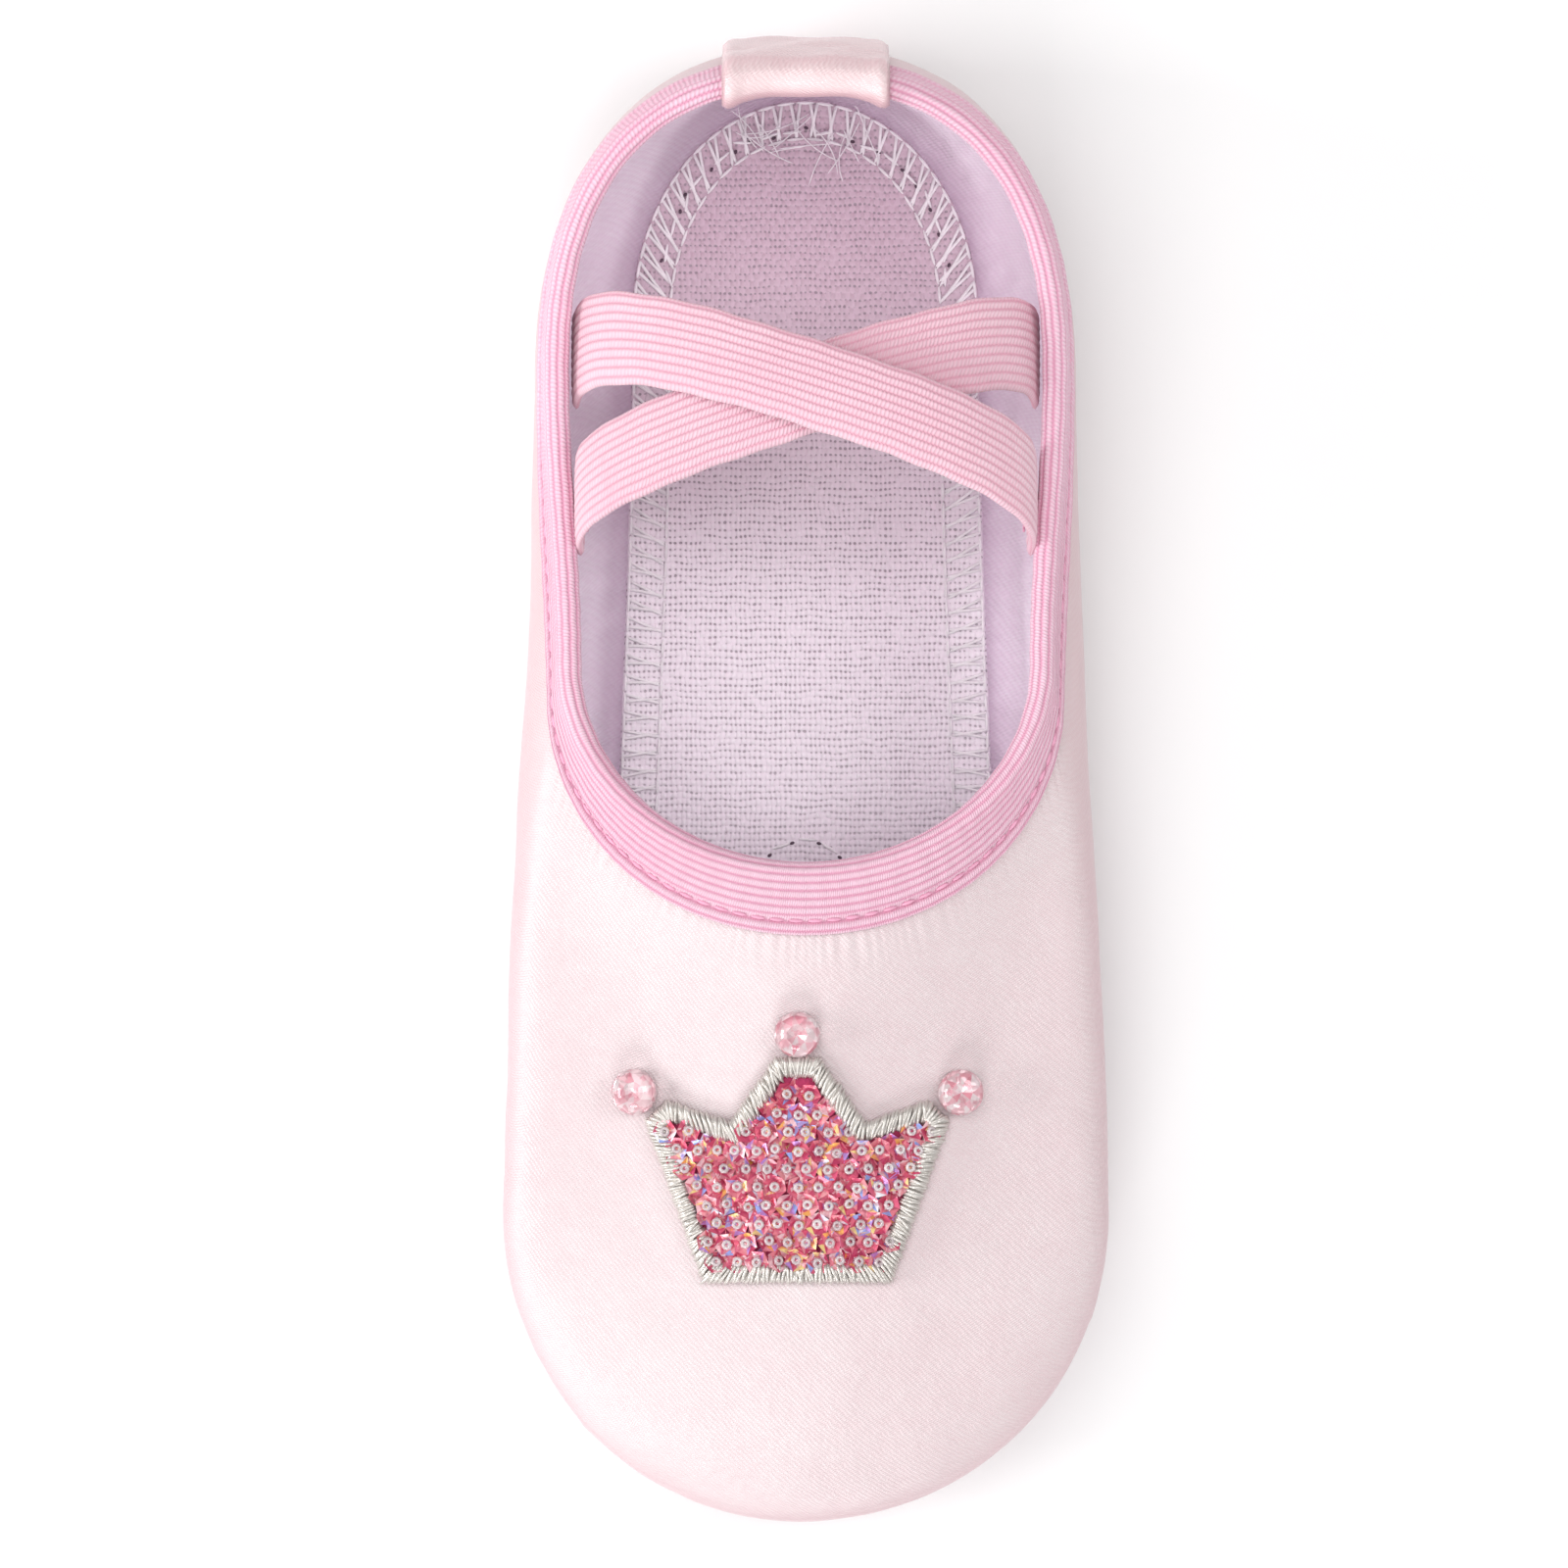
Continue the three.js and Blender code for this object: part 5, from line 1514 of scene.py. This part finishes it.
class SLIPPER_OT_crown(bpy.types.Operator):
    """Make the crown: felt, satin-stitched border, cup sequins with seed beads, and three crystals"""

    bl_idname = "slipper.crown"
    bl_label = "Crown"

    def execute(self, context):
        vamp = Vamp()
        sizes = context.scene.slipper_sizes
        crown = np.array(CROWN, float)
        centre = np.array([CROWN_X, -50.0])
        rng = np.random.default_rng(5)

        rows = np.array(
            [(0, 0.3), (0.5, 0.3), (1, 0.3), (1, 0.75), (0.75, 0.78), (0.5, 0.78), (0.25, 0.78), (0, 0.78)]
        )
        edge, _ = walk(inset_polygon(crown, 1.2), 0.9)
        last = len(rows) - 1

        def felt(u, v):
            way, lift = rows[np.rint(v * last).astype(int)].T
            xy = mix(centre, edge[np.rint(u * len(edge)).astype(int) % len(edge)], way[:, None])
            return np.c_[xy, vamp.heights(xy) + lift]

        bm = bmesh.new()
        shaped_grid(bm, len(edge), last, felt)
        finish_piece(bm, "crown_felt", material("Crown Felt"), replaces=("crown_backing",))

        outer, inner = inset_polygon(crown, 0.0), inset_polygon(crown, CROWN_BORDER)
        after_outer, after_inner = np.roll(outer, -1, axis=0), np.roll(inner, -1, axis=0)
        lengths = np.linalg.norm(after_outer - outer, axis=1)
        per_side = 14
        section = np.array(
            [(0.02, 0.25), (0.06, 0.75), (0.25, 1.1), (0.5, 1.2), (0.75, 1.1), (0.94, 0.75), (0.98, 0.25)]
        )

        def padding(u, v):
            step = np.rint(u * len(crown) * per_side).astype(int) % (len(crown) * per_side)
            side, t = step // per_side, (step % per_side)[:, None] / per_side
            way, lift = section[np.rint(v * len(section)).astype(int) % len(section)].T
            xy = mix(
                mix(outer[side], after_outer[side], t), mix(inner[side], after_inner[side], t), way[:, None]
            )
            return np.c_[xy, vamp.heights(xy) + lift]

        bm = bmesh.new()
        shaped_grid(bm, len(crown) * per_side, len(section), padding)
        finish_piece(bm, "crown_padding", material("Silver Thread"))

        bm = bmesh.new()
        for spacing, rise, slip, slant in ((0.5, 0.0, 0.05, 0.2), (0.62, 0.2, 0.1, 0.7)):
            for side, length in enumerate(lengths):
                count = round(length / spacing)
                for k in range(count):
                    t = (k + 0.5 + rng.uniform(-0.3, 0.3)) / count
                    lean = rng.uniform(-slant, slant) / count
                    a = mix(outer[side], after_outer[side], t - lean)
                    b = mix(inner[side], after_inner[side], t + lean)
                    way = np.linspace(rng.uniform(-slip, slip) - 0.04, 1.04 + rng.uniform(-slip, slip), 8)
                    xy = mix(a, b, way[:, None])
                    dome = 0.62 + rise + 0.8 * np.sin(np.pi * way.clip(0, 1)).clip(0) ** 0.5
                    tube(bm, np.c_[xy, vamp.heights(xy) + dome], rng.uniform(0.19, 0.26), sides=5)
        finish_piece(
            bm, "crown_embroidery", material("Silver Thread"),
            replaces=("crown_border",)
        )

        radius = sizes.sequin / MM / 2
        pitch = sizes.sequin_pitch / MM
        room = inset_polygon(crown, CROWN_BORDER - 0.15)
        sequins, beads = bmesh.new(), bmesh.new()
        layer = sequins.loops.layers.float_color.new("Shade")

        def sew(x, y, size, bead):
            point, normal = vamp.at(x + rng.normal(0, 0.14), y + rng.normal(0, 0.12))
            tilt = Vector((0.16 + rng.normal(0, 0.12), 0.12 + rng.normal(0, 0.12), 0))
            turn = Vector((0, 0, 1)).rotation_difference((normal + tilt).normalized()).to_matrix().to_4x4()
            spin = Matrix.Rotation(rng.uniform(0, 2 * math.pi), 4, "Z")
            rise = 0.95 + rng.uniform(0, 0.3) + (0 if bead else -0.35)
            place = Matrix.Translation((point + normal * rise) * MM) @ turn @ spin @ Matrix.Scale(MM, 4)
            verts = turned_ring(sequins, SEQUIN_PROFILE * (radius * size, radius), 6, place)
            bmesh.ops.triangulate(sequins, faces=list({face for vert in verts for face in vert.link_faces}))
            paint_facets(verts, layer, rng, SEQUIN_SHADES, SEQUIN_GLINTS_AND_HOLOGRAPHIC, 0.3)
            if bead:
                turned_ring(beads, BEAD_PROFILE + (0, 0.3), 8, place)

        row = 0
        y = room[:, 1].min() + 0.55
        while y < room[:, 1].max():
            x = CROWN_X - 20 * pitch + (row % 2) * pitch / 2
            while x < CROWN_X + 20 * pitch:
                if inside(room, x, y):
                    sew(x, y, 1.0, True)
                if inside(room, x + pitch / 2, y + pitch * 0.4):
                    sew(x + pitch / 2, y + pitch * 0.4, 0.85, False)
                x += pitch
            y += pitch * 0.93
            row += 1
        rows_of_sequins = tuple(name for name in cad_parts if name.startswith("sequin_row_"))
        film = material("Sequin Film")
        finish_piece(
            sequins, "crown_sequins", film, replaces=rows_of_sequins, smooth_shading=False
        )
        finish_piece(beads, "crown_beads", material("Seed Bead"))

        for name in ("gem_centre", "gem_left", "gem_right"):
            low, high = (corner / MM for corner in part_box(name))
            point, normal = vamp.at((low.x + high.x) / 2, (low.y + high.y) / 2)
            turn = Vector((0, 0, 1)).rotation_difference(normal).to_matrix().to_4x4()
            place = Matrix.Translation((point + normal * 0.35) * MM) @ turn @ Matrix.Scale(MM, 4)
            bm = bmesh.new()
            layer = bm.loops.layers.float_color.new("Shade")
            verts = turned_ring(bm, CRYSTAL_PROFILE * (2.75, 3.1), 9, place, twist=0.5)
            bmesh.ops.triangulate(bm, faces=bm.faces)
            # Some facets get the palest pink as a painted glint.
            paint_facets(verts, layer, rng, CRYSTAL_PINKS_AND_GLINTS, CRYSTAL_PINKS_AND_GLINTS[:1], 0.25)
            piece = name.replace("gem", "crystal")
            finish_piece(bm, piece, material("Crystal"), replaces=(name,), smooth_shading=False)
            bm = bmesh.new()
            turned_ring(bm, DOME_PROFILE * (2.8, 3.0), 32, place)
            finish_piece(bm, f"{piece}_dome", material("Pink Glass"))
        return {"FINISHED"}


# ---- Stage ---------------------------------------------------------------------------------------

CAMERA_DISTANCE = 1.5
CAMERA_TILT = 0.3
VIEW_WIDTH = 0.192  # what the picture's width takes in at the target
TARGET = Vector((-0.0026, -0.0006, 0.0))


def area_light(name, place, target, size, power, colour=(1, 1, 1)):
    data = bpy.data.lights.new(name, "AREA")
    data.shape = "RECTANGLE"
    data.size, data.size_y = size
    data.energy = power
    data.color = colour
    light = bpy.data.objects.new(name, data)
    light.location = place
    light.rotation_euler = (Vector(target) - Vector(place)).to_track_quat("-Z", "Y").to_euler()
    bpy.context.scene.collection.objects.link(light)
    return light


class SLIPPER_OT_stage(bpy.types.Operator):
    """Make the floor, the soft lights and the camera"""

    bl_idname = "slipper.stage"
    bl_label = "Stage"

    def execute(self, context):
        scene = context.scene
        floor_material, nodes, shader, place, _ = start_material("Pale Floor")
        tint = use_group(
            nodes, mottle_group(), Vector=place, Color=(0.93, 0.93, 0.93, 1),
            Shade=(0.9, 0.9, 0.91, 1), Scale=4.0, Amount=0.4
        )
        nodes.tree.links.new(tint["Color"], shader.inputs["Base Color"])
        shader.inputs["Roughness"].default_value = 0.85
        bm = bmesh.new()
        bmesh.ops.create_grid(bm, x_segments=4, y_segments=4, size=3.0)
        floor = finish_piece(bm, "floor", floor_material, body=None)

        area_light("overhead", (-0.2, 0.15, 1.15), (0, 0, 0), (0.9, 0.9), 5.2)
        area_light("toe_side", (-0.15, -1.15, 0.6), (0, -0.03, 0.02), (0.6, 0.35), 6.0)
        area_light("left_side", (-1.1, -0.1, 0.5), (0, -0.03, 0.02), (0.7, 0.4), 8.5)
        area_light("right_side", (0.75, 0.2, 0.95), (0, 0, 0.02), (0.5, 0.5), 3.4)
        world = bpy.data.worlds.new("Soft Room")
        world.use_nodes = True
        background = world.node_tree.nodes["Background"]
        background.inputs["Color"].default_value = (1, 1, 1, 1)
        background.inputs["Strength"].default_value = 0.45
        scene.world = world
        scene.view_settings.view_transform = "Standard"

        data = bpy.data.cameras.new("Camera")
        data.sensor_width = 36.0
        data.lens = data.sensor_width * CAMERA_DISTANCE / VIEW_WIDTH
        data.clip_start = 0.05
        camera = bpy.data.objects.new("Camera", data)
        tilt = math.radians(CAMERA_TILT)
        camera.location = TARGET + CAMERA_DISTANCE * Vector((0, math.sin(tilt), math.cos(tilt)))
        camera.rotation_euler = (-tilt, 0, 0)
        scene.collection.objects.link(camera)
        scene.camera = camera
        return {"FINISHED"}


# ---- Add-on --------------------------------------------------------------------------------------

STEPS = (
    SLIPPER_OT_materials,
    SLIPPER_OT_upper,
    SLIPPER_OT_binding,
    SLIPPER_OT_heel_tab,
    SLIPPER_OT_insole,
    SLIPPER_OT_patches,
    SLIPPER_OT_straps,
    SLIPPER_OT_crown,
    SLIPPER_OT_stage,
)


class SLIPPER_PT_panel(bpy.types.Panel):
    """The slipper's sizes, colours and building steps"""

    bl_idname = "SLIPPER_PT_panel"
    bl_label = "Ballet Slipper"
    bl_space_type = "VIEW_3D"
    bl_region_type = "UI"
    bl_category = "Slipper"

    def draw(self, context):
        for settings in (context.scene.slipper_sizes, context.scene.slipper_colours):
            box = self.layout.box()
            for name in settings.__annotations__:
                box.prop(settings, name)
        for step in STEPS:
            self.layout.operator(step.bl_idname)


CLASSES = (SlipperColours, SlipperSizes, *STEPS, SLIPPER_PT_panel)


def register():
    for cls in CLASSES:
        bpy.utils.register_class(cls)
    bpy.types.Scene.slipper_colours = bpy.props.PointerProperty(type=SlipperColours)
    bpy.types.Scene.slipper_sizes = bpy.props.PointerProperty(type=SlipperSizes)


def unregister():
    del bpy.types.Scene.slipper_colours
    del bpy.types.Scene.slipper_sizes
    for cls in reversed(CLASSES):
        bpy.utils.unregister_class(cls)


def main():
    register()
    for step in STEPS:
        group, name = step.bl_idname.split(".")
        getattr(getattr(bpy.ops, group), name)()


if __name__ == "__main__":
    main()
